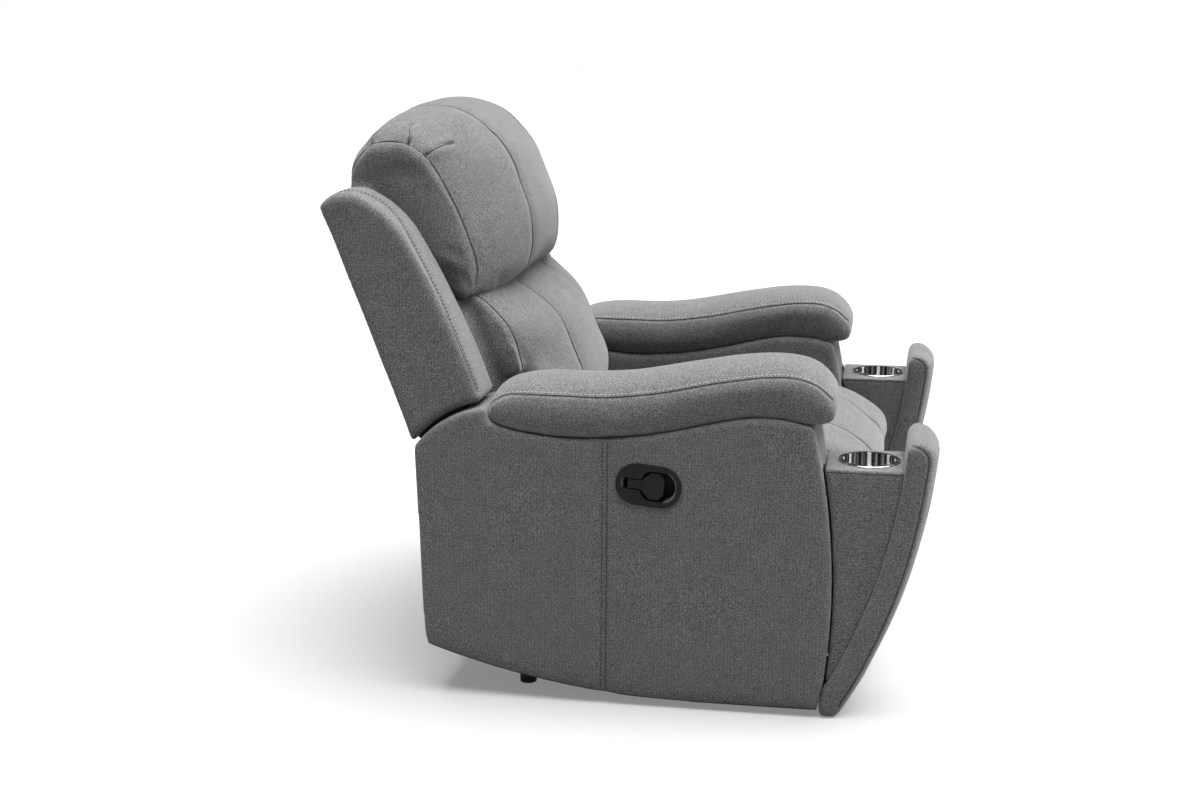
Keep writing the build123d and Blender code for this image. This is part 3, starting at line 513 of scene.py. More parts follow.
def inflate(obj, pinned, pressure, cap):
    """Fill a cover with padding: its free cloth swells, and the pinned cloth stays."""
    start = points_of(obj)
    group = obj.vertex_groups.new(name="pinned")
    group.add([int(i) for i in pinned], 1.0, "REPLACE")
    cloth = obj.modifiers.new("padding", "CLOTH")
    cloth.point_cache.frame_end = SIM_FRAMES
    rules = cloth.settings
    for key, value in CLOTH.items():
        setattr(rules, key, value)
    rules.vertex_group_mass = group.name
    rules.uniform_pressure_force = pressure
    rules.effector_weights.gravity = 0
    for step in range(1, SIM_FRAMES + 1):
        scene.frame_set(step)
    graph = bpy.context.evaluated_depsgraph_get()
    moved = points_of(obj.evaluated_get(graph)) - start
    scene.frame_set(1)
    obj.modifiers.clear()
    obj.vertex_groups.clear()
    length = np.linalg.norm(moved, axis=1, keepdims=True) + 1e-9
    set_points(obj, start + moved / length * cap * MM * np.tanh(length / (cap * MM)))


def stuff(obj, seams, padding, pin_reach=PIN_REACH):
    """Fill a cover between its seams, and press the seams in."""
    inset, pressure, cap = padding
    shrink(obj, inset)
    paths = laid_on(obj, seams)
    inflate(obj, pinned_near(obj, paths, pin_reach), pressure, cap)
    refine(obj)
    press_seams(obj, paths)


def tube(name, paths, radius):
    """Thin round threads along some paths, as one mesh."""
    curve = bpy.data.curves.new(name, "CURVE")
    curve.dimensions = "3D"
    curve.bevel_depth = radius * MM
    curve.bevel_resolution = 1
    for path in paths:
        spline = curve.splines.new("POLY")
        spline.points.add(len(path) - 1)
        spline.points.foreach_set("co", np.column_stack([path, np.ones(len(path))]).ravel())
    holder = new_object(name, curve)
    graph = bpy.context.evaluated_depsgraph_get()
    mesh = bpy.data.meshes.new_from_object(holder.evaluated_get(graph))
    bpy.data.objects.remove(holder)
    mesh.name = name
    return new_object(name, mesh)


def stitches(name, rows, radius):
    """Short round stitches along rows of (place, outward direction)."""
    verts, faces = [], []
    half = STITCH_LENGTH * MM / 2
    last = len(STITCH_PROFILE) - 1
    for places, outward in rows:
        run = run_along(places)
        for at in np.arange(STITCH_PITCH * MM / 2, run[-1], STITCH_PITCH * MM):
            centre = place_at(places, run, at)
            up = outward[int(np.searchsorted(run, at).clip(0, len(outward) - 1))]
            along = place_at(places, run, at + half) - place_at(places, run, at - half)
            along /= np.linalg.norm(along) + 1e-9
            across = np.cross(along, up)
            first = len(verts)
            for share, girth in STITCH_PROFILE:
                middle = centre + along * share * STITCH_LENGTH * MM
                for k in range(STITCH_RING):
                    turn = 2 * math.pi * k / STITCH_RING
                    side = math.cos(turn) * across + math.sin(turn) * up
                    verts.append(middle + side * girth * radius * MM)
            for r in range(last):
                for k in range(STITCH_RING):
                    a = first + r * STITCH_RING + k
                    b = first + r * STITCH_RING + (k + 1) % STITCH_RING
                    faces.append((a, b, b + STITCH_RING, a + STITCH_RING))
            faces.append(tuple(first + k for k in reversed(range(STITCH_RING))))
            faces.append(tuple(first + last * STITCH_RING + k for k in range(STITCH_RING)))
    mesh = bpy.data.meshes.new(name)
    mesh.from_pydata([tuple(v) for v in verts], [], faces)
    return new_object(name, mesh)


# Materials


def material(name):
    mat = bpy.data.materials.new(name)
    mat.use_nodes = True
    tree = mat.node_tree
    shader = next(n for n in tree.nodes if n.type == "BSDF_PRINCIPLED")
    return mat, tree, shader


def add(tree, kind, inputs=(), **settings):
    node = tree.nodes.new(kind)
    for key, value in settings.items():
        setattr(node, key, value)
    for key, value in inputs:
        if hasattr(value, "is_output"):
            tree.links.new(value, node.inputs[key])
        else:
            node.inputs[key].default_value = value
    return node


def grain(tree, scale, detail=2.0, stretch=(1, 1, 1)):
    """Noise in the object's own space, stretched along its axes."""
    place = add(tree, "ShaderNodeTexCoord").outputs["Object"]
    size = add(tree, "ShaderNodeMapping", [("Vector", place), ("Scale", stretch)])
    inputs = [("Vector", size.outputs["Vector"]), ("Scale", scale), ("Detail", detail)]
    return add(tree, "ShaderNodeTexNoise", inputs).outputs["Fac"]


def grey(level):
    return (level, level, level)


def ramp(tree, value, *stops):
    """Colours or grey levels at some places of a value."""
    node = add(tree, "ShaderNodeValToRGB", [("Fac", value)])
    bands = node.color_ramp.elements
    while len(bands) < len(stops):
        bands.new(0.5)
    for band, (at, tone) in zip(bands, stops):
        band.position = at
        band.color = (*(tone if isinstance(tone, tuple) else grey(tone)), 1)
    return node.outputs["Color"]


def multiply(tree, first, second):
    """Product of two colours."""
    node = add(tree, "ShaderNodeMix", data_type="RGBA", blend_type="MULTIPLY")
    sockets = {s.identifier: s for s in node.inputs}
    sockets["Factor_Float"].default_value = 1.0
    tree.links.new(first, sockets["A_Color"])
    tree.links.new(second, sockets["B_Color"])
    return next(s for s in node.outputs if s.identifier == "Result_Color")


def math_node(tree, kind, first, second=0.0):
    inputs = [(0, first), (1, second)]
    return add(tree, "ShaderNodeMath", inputs, operation=kind).outputs["Value"]


def vector_node(tree, kind, first, second=None):
    inputs = [(0, first)] if second is None else [(0, first), (1, second)]
    return add(tree, "ShaderNodeVectorMath", inputs, operation=kind)


def scaled(tree, vector, factor):
    node = vector_node(tree, "SCALE", vector)
    node.inputs["Scale"].default_value = factor
    return node.outputs[0]


def bump(tree, shader, height, strength, distance):
    inputs = [("Height", height), ("Strength", strength), ("Distance", distance)]
    node = add(tree, "ShaderNodeBump", inputs)
    tree.links.new(node.outputs["Normal"], shader.inputs["Normal"])


def weave(tree, pitch, wander):
    """Over and under pattern of yarns that runs through space in all directions."""
    place = add(tree, "ShaderNodeTexCoord").outputs["Object"]
    inputs = [("Vector", place), ("Scale", WANDER_SCALE)]
    course = add(tree, "ShaderNodeTexNoise", inputs).outputs["Color"]
    drift = scaled(tree, course, wander * pitch * MM)
    moved = vector_node(tree, "ADD", place, drift).outputs[0]
    turn = scaled(tree, moved, 2 * math.pi / (pitch * MM))
    sine = vector_node(tree, "SINE", turn).outputs[0]
    cosine = vector_node(tree, "COSINE", turn).outputs[0]
    split = add(tree, "ShaderNodeSeparateXYZ", [(0, cosine)]).outputs
    order = [(0, split["Y"]), (1, split["Z"]), (2, split["X"])]
    cycled = add(tree, "ShaderNodeCombineXYZ", order).outputs[0]
    return vector_node(tree, "DOT_PRODUCT", sine, cycled).outputs["Value"]


def fabric_material():
    """Grey heather weave: light and dark yarns both ways, with a soft sheen."""
    mat, tree, shader = material("grey_heather_fabric")
    weft = grain(tree, YARN_SCALE, stretch=(ALONG_YARN, ALONG_YARN, ACROSS_YARN))
    warp = grain(tree, YARN_SCALE, stretch=(ACROSS_YARN, ACROSS_YARN, ALONG_YARN))
    yarn = math_node(tree, "MULTIPLY", math_node(tree, "ADD", weft, warp), 0.5)
    crossing = math_node(tree, "MULTIPLY", weave(tree, WEAVE_PITCH, WEAVE_WANDER), WEAVE_SHARE)
    slub = math_node(tree, "MULTIPLY", weave(tree, SLUB_PITCH, SLUB_WANDER), SLUB_SHARE)
    mixed = math_node(tree, "ADD", yarn, math_node(tree, "ADD", crossing, slub))
    tone = ramp(tree, mixed, (0.39, 0.012), (0.5, 0.060), (0.61, 0.175))
    patch = ramp(tree, grain(tree, 26, detail=3.0), (0.3, 0.9), (0.7, 1.0))
    tree.links.new(multiply(tree, tone, patch), shader.inputs["Base Color"])
    shader.inputs["Roughness"].default_value = 0.92
    shader.inputs["Specular IOR Level"].default_value = 0.2
    shader.inputs["Sheen Weight"].default_value = 0.15
    shader.inputs["Sheen Roughness"].default_value = 0.5
    bump(tree, shader, mixed, strength=0.4, distance=0.0010)
    return mat


# Near-black cloth: the footrest board's lining, and painted shade in the slots beside and under the
# wings
def lining_and_slot_shade_material():
    mat, tree, shader = material("black_lining_and_slot_shade_cloth")
    nap = grain(tree, 900)
    tree.links.new(ramp(tree, nap, (0.3, 0.006), (0.7, 0.016)), shader.inputs["Base Color"])
    shader.inputs["Roughness"].default_value = 0.95
    shader.inputs["Specular IOR Level"].default_value = 0.1
    bump(tree, shader, nap, strength=0.3, distance=0.0005)
    return mat


def thread_material(name, level):
    mat, tree, shader = material(name)
    twist = grain(tree, 1400, detail=1.0)
    tone = ramp(tree, twist, (0.35, level * 0.7), (0.65, level * 1.2))
    tree.links.new(tone, shader.inputs["Base Color"])
    shader.inputs["Roughness"].default_value = 0.8
    return mat


def plastic_material():
    mat, tree, shader = material("black_moulded_plastic")
    pebble = grain(tree, 900)
    wear = grain(tree, 30, detail=3.0)
    tree.links.new(ramp(tree, wear, (0.3, 0.003), (0.7, 0.007)), shader.inputs["Base Color"])
    tree.links.new(ramp(tree, wear, (0.3, 0.42), (0.7, 0.55)), shader.inputs["Roughness"])
    shader.inputs["Specular IOR Level"].default_value = 0.16
    bump(tree, shader, pebble, strength=0.5, distance=0.0006)
    return mat


def zinc_material():
    mat, tree, shader = material("zinc_plated_steel")
    brushed = grain(tree, 700, stretch=(1.0, 0.3, 1.0))
    tree.links.new(ramp(tree, brushed, (0.3, 0.558), (0.7, 0.651)), shader.inputs["Base Color"])
    tree.links.new(ramp(tree, brushed, (0.3, 0.256), (0.7, 0.416)), shader.inputs["Roughness"])
    shader.inputs["Metallic"].default_value = 1.0
    bump(tree, shader, brushed, strength=0.08, distance=0.0002)
    return mat


def cup_material():
    """Polished cup whose colour has light and dark upright bands around its axis: painted
    reflections. Inside the cup its roughness follows them.
    """
    mat, tree, shader = material("polished_stainless")
    place = add(tree, "ShaderNodeTexCoord").outputs["Object"]
    split = add(tree, "ShaderNodeSeparateXYZ", [(0, place)]).outputs
    out = math_node(tree, "SUBTRACT", math_node(tree, "ABSOLUTE", split["X"]), CUP_AT[0] * MM)
    back = math_node(tree, "SUBTRACT", split["Y"], CUP_AT[1] * MM)
    around = math_node(tree, "ARCTAN2", back, out)
    wide = math_node(tree, "COSINE", math_node(tree, "MULTIPLY", around, CUP_REFLECTION_BANDS))
    turn = math_node(tree, "MULTIPLY", around, CUP_FINE_REFLECTION_BANDS)
    thin = math_node(tree, "COSINE", math_node(tree, "ADD", turn, CUP_FINE_REFLECTION_TURN))
    painted_reflection = math_node(tree, "ADD", math_node(tree, "MULTIPLY", wide, CUP_REFLECTION_SHARE),
                        math_node(tree, "MULTIPLY", thin, CUP_FINE_REFLECTION_SHARE))
    level = math_node(tree, "ADD", painted_reflection, 0.5)
    # Painted reflections: the bands brighten and darken the metal's colour
    tone = ramp(tree, level, (0.45, 0.30), (0.70, 0.5), (0.86, 0.97))
    tree.links.new(tone, shader.inputs["Base Color"])
    square = math_node(tree, "ADD", math_node(tree, "MULTIPLY", out, out),
                       math_node(tree, "MULTIPLY", back, back))
    inside = math_node(tree, "LESS_THAN", square, (CUP_INNER * MM) ** 2)
    buffed = ramp(tree, math_node(tree, "MULTIPLY", level, inside), (0.6, 0.10), (0.85, 0.65))
    tree.links.new(buffed, shader.inputs["Roughness"])
    shader.inputs["Metallic"].default_value = 1.0
    return mat


def black_steel_material():
    mat, tree, shader = material("black_painted_steel")
    orange_peel = grain(tree, 420)
    scuffs = grain(tree, 60, detail=4.0)
    tree.links.new(ramp(tree, scuffs, (0.35, 0.016), (0.75, 0.035)), shader.inputs["Base Color"])
    shader.inputs["Roughness"].default_value = 0.4
    bump(tree, shader, orange_peel, strength=0.15, distance=0.0003)
    return mat


def wood_material():
    mat, tree, shader = material("pine_frame_wood")
    rings = grain(tree, 40, detail=5.0, stretch=(1.0, 0.12, 1.0))
    fibre = grain(tree, 400, stretch=(1.0, 0.1, 1.0))
    pale, tan, brown = (0.56, 0.38, 0.21), (0.48, 0.30, 0.15), (0.40, 0.24, 0.12)
    tone = ramp(tree, rings, (0.3, brown), (0.55, pale), (0.75, tan))
    tree.links.new(tone, shader.inputs["Base Color"])
    shader.inputs["Roughness"].default_value = 0.7
    bump(tree, shader, fibre, strength=0.2, distance=0.0004)
    return mat


def nylon_material():
    mat, tree, shader = material("white_nylon")
    mould = grain(tree, 300)
    tree.links.new(ramp(tree, mould, (0.3, 0.72), (0.7, 0.82)), shader.inputs["Base Color"])
    shader.inputs["Roughness"].default_value = 0.5
    shader.inputs["Subsurface Weight"].default_value = 0.1
    return mat


FABRIC = fabric_material()
LINING_AND_SLOT_SHADE = lining_and_slot_shade_material()
# Near-black: the dark stitch rows' thread, and painted shade in the seam lines and fold creases
DARK_THREAD_AND_SEAM_SHADE = thread_material("dark_seam_thread", 0.014)
LIGHT_THREAD = thread_material("light_topstitch_thread", 0.26)
CAD_FINISH = {
    "polished_steel": cup_material(),
    "zinc_steel": zinc_material(),
    "black_steel": black_steel_material(),
    "black_plastic": plastic_material(),
    "frame_wood": wood_material(),
    "white_nylon": nylon_material(),
}


# Finishing


def finish_cad():
    """Better materials on the CAD nodes that keep showing. Cloth lines the footrest's board."""
    for name, node in nodes.items():
        look = CAD_FINISH.get(node.data.materials[0].name, FABRIC)
        node.data.materials.clear()
        node.data.materials.append(LINING_AND_SLOT_SHADE if name == "footrest_board" else look)


def dress(obj, body, replaced):
    """Finish a soft piece: fabric, the body it rides on and the CAD nodes that it stands for."""
    obj.data.materials.clear()
    obj.data.materials.append(FABRIC)
    shade_smooth(obj)
    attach(obj, body)
    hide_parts(*replaced)


def sew(obj, body, seams, rows=(), dark_rows=()):
    """Near-black tubes in the seams, partly thread and partly painted shade of the seam lines, and
    stitch rows beside them, lying on the finished piece.
    """
    tree = surface(obj)
    laid = [lay(seam, tree) for seam in seams]
    thread_and_shade_lines = [place + outward * SEAM_LIFT * MM for place, outward in laid]
    made = [(tube(obj.name + "_seam", thread_and_shade_lines, SEAM_R), DARK_THREAD_AND_SEAM_SHADE)]
    light = ("_topstitch", rows, LIGHT_THREAD, STITCH_R)
    dark = ("_stitch", dark_rows, DARK_THREAD_AND_SEAM_SHADE, DARK_STITCH_R)
    for part, paths, thread, radius in (light, dark):
        if paths:
            laid = [lay(row, tree) for row in paths]
            made.append((stitches(obj.name + part, laid, radius), thread))
    for piece, thread in made:
        piece.data.materials.append(thread)
        shade_smooth(piece)
        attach(piece, body)


def finish_pair(obj, body, node, seams, rows=(), dark_rows=()):
    """Finish a right piece and its left twin."""
    twin = mirror_x(obj, obj.name.replace("right", "left"))
    dress(obj, body, ["right_" + node])
    sew(obj, body, seams, rows, dark_rows)
    dress(twin, body, ["left_" + node])
    sew(twin, body, flip_x(seams), flip_x(rows), flip_x(dark_rows))


# Soft pieces


def fold_fade(t):
    """Depth of a tuck along its length: it starts in the seam and runs out."""
    return np.minimum(1, 0.6 + 2 * t) * (1 - t**3)


def drop_head(head):
    """Let the lower front edge of the head cushion hang over the lumbar cushion."""
    points = points_of(head)
    across, deep, up = (points / MM).T
    low = np.clip((DROP_UNDER[0] - up) / DROP_UNDER[1], 0, 1)
    front = np.clip((DROP_BEFORE[0] - deep) / DROP_BEFORE[1], 0, 1)
    side = DROP_MIDDLE + (1 - DROP_MIDDLE) * np.clip(np.abs(across) / DROP_SIDE, 0, 1)
    points[:, 2] -= HEAD_DROP * MM * low * front * side
    set_points(head, points)


def head_cushion():
    head = copy_node("head_cover", "head_cushion")
    add_prism(head, HEAD_FILL, -HEAD_FILL_HALF, HEAD_FILL_HALF)
    add_prism(head, HEAD_REAR, -HEAD_REAR_HALF, HEAD_REAR_HALF)
    remesh(head, CUSHION_VOXEL, rounds=5)
    for swell in HEAD_SWELLS:
        swell_at(head, *swell)
    drop_head(head)
    gussets = both([(line(at_x(-HEAD_SIDE_X, HEAD_SEAM)), (1, 0, 0))])
    fronts = both([(line(at_x(-SEAM_X, HEAD_FRONT)), None)])
    stuff(head, gussets + fronts, HEAD_PADDING)
    folds = laid_on(head, both([(line(fold, FOLD_STEP), None) for fold in PLEATS]))
    refine_near(head, folds, FOLD_REACH)
    for fold in folds:
        for width, depth in FOLD_LINES:
            sink(head, fold, width, depth, fold_fade)
    crumple(head, *HEAD_CRUMPLE)
    dress(head, "back", ["head_cushion"])
    # Near-black lines in the first three fifths of each fold: painted shadow in the creases
    crease_shade_lines = [(fold[:len(fold) * 3 // 5], None) for fold in folds]
    sew(head, "back", gussets + fronts + crease_shade_lines)


def lumbar_cushion():
    lumbar = copy_node("lumbar_cover", "lumbar_cushion")
    add_prism(lumbar, LUMBAR_SIDE, -LUMBAR_SIDE_HALF, LUMBAR_SIDE_HALF)
    add_prism(lumbar, LUMBAR_REAR, -LUMBAR_REAR_HALF, LUMBAR_REAR_HALF)
    add_prism(lumbar, LUMBAR_SKIRT, -LUMBAR_SKIRT_HALF, LUMBAR_SKIRT_HALF)
    remesh(lumbar, CUSHION_VOXEL, rounds=5)
    swell_at(lumbar, *LUMBAR_SWELL)
    gussets = both([(line(at_x(-LUMBAR_SIDE_X, LUMBAR_SEAM)), None)])
    fronts = both([(line(at_x(-SEAM_X, LUMBAR_FRONT)), None)])
    stuff(lumbar, gussets + fronts, LUMBAR_PADDING)
    crumple(lumbar, *LUMBAR_CRUMPLE)
    dress(lumbar, "back", ["lumbar_cushion"])
    sew(lumbar, "back", gussets + fronts)


def seat_cushion():
    seat = copy_node("seat_cover", "seat_cushion")
    add_prism(seat, SEAT_APRON, -SEAT_APRON_HALF, SEAT_APRON_HALF)
    remesh(seat, CUSHION_VOXEL, rounds=5)
    fronts = both([(line(at_x(-SEAM_X, SEAT_SEAM)), None)])
    lower = [(y, z - SEAT_EDGE_DROP) for y, z in SEAT_SEAM]
    edges = both([(line(at_x(-SEAT_EDGE_X, lower)), None)])
    stuff(seat, fronts + edges, SEAT_PADDING)
    crumple(seat, *SEAT_CRUMPLE)
    dress(seat, "seat", ["seat_cushion"])
    sew(seat, "seat", fronts + edges)


def arm_sides(pairs):
    """A side path on the right and the left of the right arm, thrown inward."""
    return [(line(at_x(ARM_MIDDLE + side * ARM_HALF, pairs)), (-side, 0, 0)) for _, side in SIDES]


def arm_pads():
    pad = copy_node("right_pad_cover", "right_arm_pad")
    remesh(pad, PAD_VOXEL, rounds=4)
    seams = arm_sides(PAD_SEAM)
    stuff(pad, seams, PAD_PADDING, PAD_PIN_REACH)
    crumple(pad, *PAD_CRUMPLE)
    rows = [beside(pad, seam, side * PAD_ROW) for seam, (_, side) in zip(seams, SIDES)]
    finish_pair(pad, "base", "arm_pad", seams, rows)


def arms():
    """One closed cover for the four panels of each arm, with a hole for the handle."""
    outer_low, outer_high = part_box("left_arm_outer_panel")
    inner_low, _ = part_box("left_arm_inner_panel")
    arm = copy_node("left_arm_cover", "left_arm_outer_panel")
    points = points_of(arm)
    points[points[:, 0] < outer_low.x + TOUCH * MM, 0] = inner_low.x
    set_points(arm, points)
    remesh(arm, VOXEL, rounds=5)
    shrink(arm, -ARM_GROWTH)
    crumple(arm, *ARM_CRUMPLE)
    twin = mirror_x(arm, "right_arm_cover")
    cut_handle_hole(twin)
    panels = ("arm_outer_panel", "arm_inner_panel", "arm_front_panel", "arm_rear_panel")
    side = outer_high.x / MM
    inward = (-1, 0, 0)
    seam, row = (
        (line([(side, ARM_SEAM_Y + shift + lean, z) for lean, z in ARM_SEAM_LEAN]), inward)
        for shift in (0, ARM_ROW)
    )
    hem = (hem_path(arm, outer_low.y, outer_high.y, outer_high.x), inward)
    for obj, name, seams, rows in (
        (arm, "left", [seam, hem], [row]),
        (twin, "right", flip_x([seam, hem]), flip_x([row])),
    ):
        press_seams(obj, laid_on(obj, seams))
        dress(obj, "base", [f"{name}_{panel}" for panel in panels])
        sew(obj, "base", seams, dark_rows=rows)


def hem_path(obj, low, high, side):
    """Line just above the lower edge of an arm's outer face."""
    tree = surface(obj)
    path = []
    for y in np.arange(low + HEM_INSET * MM, high - HEM_INSET * MM, SEAM_STEP * MM):
        under = Vector((side - HEM_DEPTH * MM, y, HEM_UNDER * MM))
        hit = tree.ray_cast(under, Vector((0, 0, 1)))
        path.append((side, y, hit[0].z + HEM_RISE * MM))
    return np.array(path)


def cut_handle_hole(obj):
    """Opening in the right arm's cover for the bezel's body."""
    low, high = (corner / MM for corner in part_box("handle_bezel"))
    centre = (low + high) / 2
    half_height = (high.z - low.z) / 2 - HOLE_INSET_Z
    straight = (high.y - low.y) / 2 - HOLE_INSET_Y - half_height
    tilt = math.radians(HOLE_TILT)
    outline = []
    for k in range(HOLE_POINTS):
        turn = 2 * math.pi * k / HOLE_POINTS
        y = math.cos(turn) * half_height + math.copysign(straight, math.cos(turn))
        z = math.sin(turn) * half_height
        outline.append((centre.y + y * math.cos(tilt) - z * math.sin(tilt),
                        centre.z + y * math.sin(tilt) + z * math.cos(tilt)))
    tool = new_object("cutter", bpy.data.meshes.new("cutter"))
    add_prism(tool, outline, low.x - HOLE_DEPTH, high.x + HOLE_DEPTH)
    hole = obj.modifiers.new("hole", "BOOLEAN")
    hole.object = tool
    hole.operation = "DIFFERENCE"
    hole.solver = "EXACT"
    apply_modifiers(obj)
    bpy.data.objects.remove(tool)


def pods_and_shields():
    pod = copy_node("right_pod_cover", "right_cup_pod")
    remesh(pod, POD_VOXEL, rounds=4)
    crumple(pod, *POD_CRUMPLE)
    edges = [(line(at_x(ARM_MIDDLE + side * POD_HALF, POD_EDGE)), None) for _, side in SIDES]
    for path in laid_on(pod, edges):
        sink(pod, path, *POD_CREASE)
    finish_pair(pod, "base", "cup_pod", edges)

    shield = copy_node("right_front_shield_cover", "right_front_shield")
    remesh(shield, EDGED_VOXEL, rounds=5)
    shrink(shield, -SHIELD_GROWTH)
    refine(shield)
    seams = arm_sides(SHIELD_SEAM)
    press_seams(shield, laid_on(shield, seams))
    crumple(shield, *SHIELD_CRUMPLE)
    finish_pair(shield, "base", "front_shield", seams)


def thin_below(wing):
    """Take the padding's growth off a wing's lower edge, so the slot above the arm stays open."""
    points = points_of(wing)
    away = points[:, 1:] - np.array(PIVOT) * MM
    radius = np.linalg.norm(away, axis=1, keepdims=True)
    share = np.clip((WING_LOW + WING_THIN - radius / MM) / WING_THIN, 0, 1)
    points[:, 1:] += away / radius * WING_GROWTH * MM * share
    set_points(wing, points)


def wings():
    wing = copy_node("right_wing_cover", "right_wing")
    remesh(wing, EDGED_VOXEL, rounds=5)
    shrink(wing, -WING_GROWTH)
    thin_below(wing)
    swell_at(wing, *WING_SWELL)
    refine(wing)
    seam = (line(WING_SEAM), None)
    press_seams(wing, laid_on(wing, [seam]))
    crumple(wing, *WING_CRUMPLE)
    row = beside(wing, seam, WING_ROW)
    finish_pair(wing, "back", "wing", [seam], dark_rows=[row])


def add_slot_shade_sheets(name, outline, low, high):
    """Black sheets on both sides of the back, painted shade in the slots: an outline between two
    distances from the middle.
    """
    for side_name, side in SIDES:
        full_name = f"{side_name}_{name}"
        shade_sheet = new_object(full_name, bpy.data.meshes.new(full_name))
        add_prism(shade_sheet, outline, side * low, side * high)
        shade_sheet.data.materials.append(LINING_AND_SLOT_SHADE)
        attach(shade_sheet, "back")


def wing_slot_shade_flaps():
    """Black sheets under the wings that close the slots above the arms, painted shade in the slots.
    """
    arc = [math.radians(a) for a in FLAP_ARC]

    def edge(radius):
        return [(PIVOT[0] + radius * math.cos(a), PIVOT[1] + radius * math.sin(a)) for a in arc]

    add_slot_shade_sheets("wing_slot_shade_flap", edge(FLAP_LOW) + edge(FLAP_HIGH)[::-1], *FLAP_X)


def slot_shade_sheets():
    """Black sheets in front of the back frame, in the slots beside the wings, painted shade in the
    slots.
    """
    add_slot_shade_sheets("slot_shade_sheet", SLOT_SHADE_SHEET, *SLOT_X)


def outside_back():
    back = copy_node("outside_back_cover", "outside_back")
    add_prism(back, BACK_TAIL, -BACK_TAIL_HALF, BACK_TAIL_HALF)
    remesh(back, VOXEL, rounds=4)
    crumple(back, *BACK_CRUMPLE)
    sides = both([(line(at_x(-BACK_SEAM_X, BACK_SEAM)), None)])
    top = (line([(x, *BACK_SEAM[1]) for x in (-BACK_SEAM_X, 0, BACK_SEAM_X)]), None)
    seams = sides + [top]
    press_seams(back, laid_on(back, seams))
    rows = [beside(back, seam, offset) for seam, offset in zip(seams, BACK_ROWS)]
    dress(back, "back", ["outside_back"])
    sew(back, "back", seams, dark_rows=rows)


def rear_valance():
    cover = copy_node("rear_valance_cover", "rear_valance")
    remesh(cover, VOXEL, rounds=4)
    crumple(cover, *VALANCE_CRUMPLE)
    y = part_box("rear_valance")[1].y / MM
    hem = (line([(x, y, VALANCE_HEM_Z) for x in (-VALANCE_HEM_X, 0, VALANCE_HEM_X)]), None)
    press_seams(cover, laid_on(cover, [hem]))
    dress(cover, "base", ["rear_valance"])
    sew(cover, "base", [hem])


def footrest_pad():
    """Padded cover that also wraps the edges of the footrest's board."""
    pad = copy_node("footrest_cover", "footrest_pad")
    low, high = (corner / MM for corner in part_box("footrest_board"))
    front, rear = low.y - WRAP_FRONT, high.y + WRAP_REAR
    bottom, top = low.z - WRAP_LOW, high.z + WRAP_HIGH
    wrap = [(front, bottom), (rear, bottom), (rear, top), (front, top)]
    add_prism(pad, wrap, low.x - WRAP_SIDE, high.x + WRAP_SIDE)
    remesh(pad, CUSHION_VOXEL, rounds=4)
    low, high = (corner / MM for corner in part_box("footrest_pad"))
    ends = [(low.y, high.z - FOOTREST_SEAM_INSET), (low.y, low.z + FOOTREST_SEAM_INSET)]
    fronts = both([(line(at_x(-SEAM_X, ends)), None)])
    stuff(pad, fronts, FOOTREST_PADDING)
    dress(pad, "footrest", ["footrest_pad"])
    sew(pad, "footrest", fronts)


# Stage


def floor():
    """White floor that takes soft shadows."""
    look, _, shader = material("white_floor")
    shader.inputs["Base Color"].default_value = (*grey(FLOOR_GREY), 1)
    shader.inputs["Roughness"].default_value = 1.0
    shader.inputs["Specular IOR Level"].default_value = 0.0
    shader.inputs["Emission Color"].default_value = (1, 1, 1, 1)
    shader.inputs["Emission Strength"].default_value = FLOOR_GLOW
    mesh = bpy.data.meshes.new("floor")
    ends = ((-1, -1), (1, -1), (1, 1), (-1, 1))
    mesh.from_pydata([(x * FLOOR_HALF, y * FLOOR_HALF, 0) for x, y in ends], [], [(0, 1, 2, 3)])
    mesh.materials.append(look)
    new_object("floor", mesh)


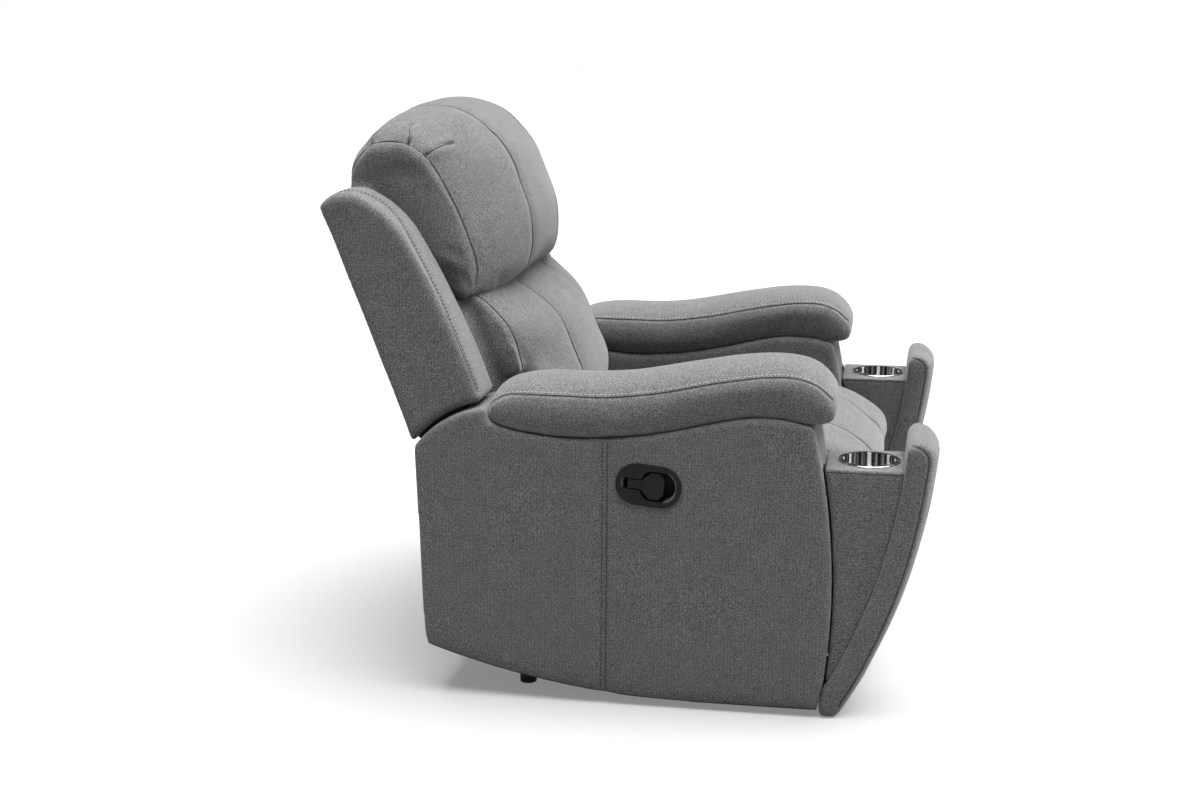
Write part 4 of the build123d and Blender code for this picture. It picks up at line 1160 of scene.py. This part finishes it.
def light_bands(tree):
    """Light and dark upright bands around the room, for shiny metal to mirror."""
    place = add(tree, "ShaderNodeTexCoord").outputs["Generated"]
    split = add(tree, "ShaderNodeSeparateXYZ", [(0, place)]).outputs
    around = math_node(tree, "ARCTAN2", split["Y"], split["X"])
    turned = math_node(tree, "ADD", math_node(tree, "MULTIPLY", around, LIGHT_BANDS), BAND_TURN)
    wave = math_node(tree, "MULTIPLY", math_node(tree, "SINE", turned), 0.5)
    level = math_node(tree, "ADD", wave, 0.5)
    return ramp(tree, level, (0.3, 0.10), (0.6, 0.55), (0.9, 1.0))


def room():
    """White to the camera, banded to shiny metal, and even light for the rest."""
    world = bpy.data.worlds.new("studio")
    scene.world = world
    world.use_nodes = True
    tree = world.node_tree
    tree.nodes.clear()

    def background(colour, strength):
        inputs = [("Color", colour), ("Strength", strength)]
        return add(tree, "ShaderNodeBackground", inputs).outputs[0]

    def choose(share, first, second):
        return add(tree, "ShaderNodeMixShader", [(0, share), (1, first), (2, second)]).outputs[0]

    path = add(tree, "ShaderNodeLightPath").outputs
    seen = math_node(tree, "MAXIMUM", path["Is Camera Ray"], path["Is Transmission Ray"])
    white = (1, 1, 1, 1)
    plain = choose(seen, background(white, WORLD_LIGHT), background(white, 1.0))
    mirrored = background(light_bands(tree), 1.0)
    shown = choose(path["Is Glossy Ray"], plain, mirrored)
    add(tree, "ShaderNodeOutputWorld", [("Surface", shown)])


def aimed(name, data, at, look):
    """Light or camera at a place that looks in a direction."""
    holder = bpy.data.objects.new(name, data)
    holder.location = at
    holder.rotation_euler = Vector(look).to_track_quat("-Z", "Y").to_euler()
    scene.collection.objects.link(holder)
    return holder


def lights():
    sun = bpy.data.lights.new("soft_sun", "SUN")
    sun.energy = SUN_LIGHT
    sun.angle = math.radians(SUN_SPREAD)
    aimed("soft_sun", sun, (0, 0, 0), -Vector(SUN_FROM))
    fill = bpy.data.lights.new("front_fill", "AREA")
    fill.energy = FILL_POWER
    fill.size = FILL_SIZE
    aimed("front_fill", fill, FILL_AT, Vector(FILL_AIM) - Vector(FILL_AT))


def camera():
    lens = bpy.data.cameras.new("camera")
    lens.lens = CAMERA_LENS
    lens.sensor_width = CAMERA_SENSOR
    scene.camera = aimed("camera", lens, CAMERA_AT, CAMERA_LOOK)
    scene.view_settings.view_transform = "Standard"


finish_cad()
head_cushion()
lumbar_cushion()
seat_cushion()
arm_pads()
arms()
pods_and_shields()
wings()
wing_slot_shade_flaps()
slot_shade_sheets()
outside_back()
rear_valance()
footrest_pad()
floor()
room()
lights()
camera()
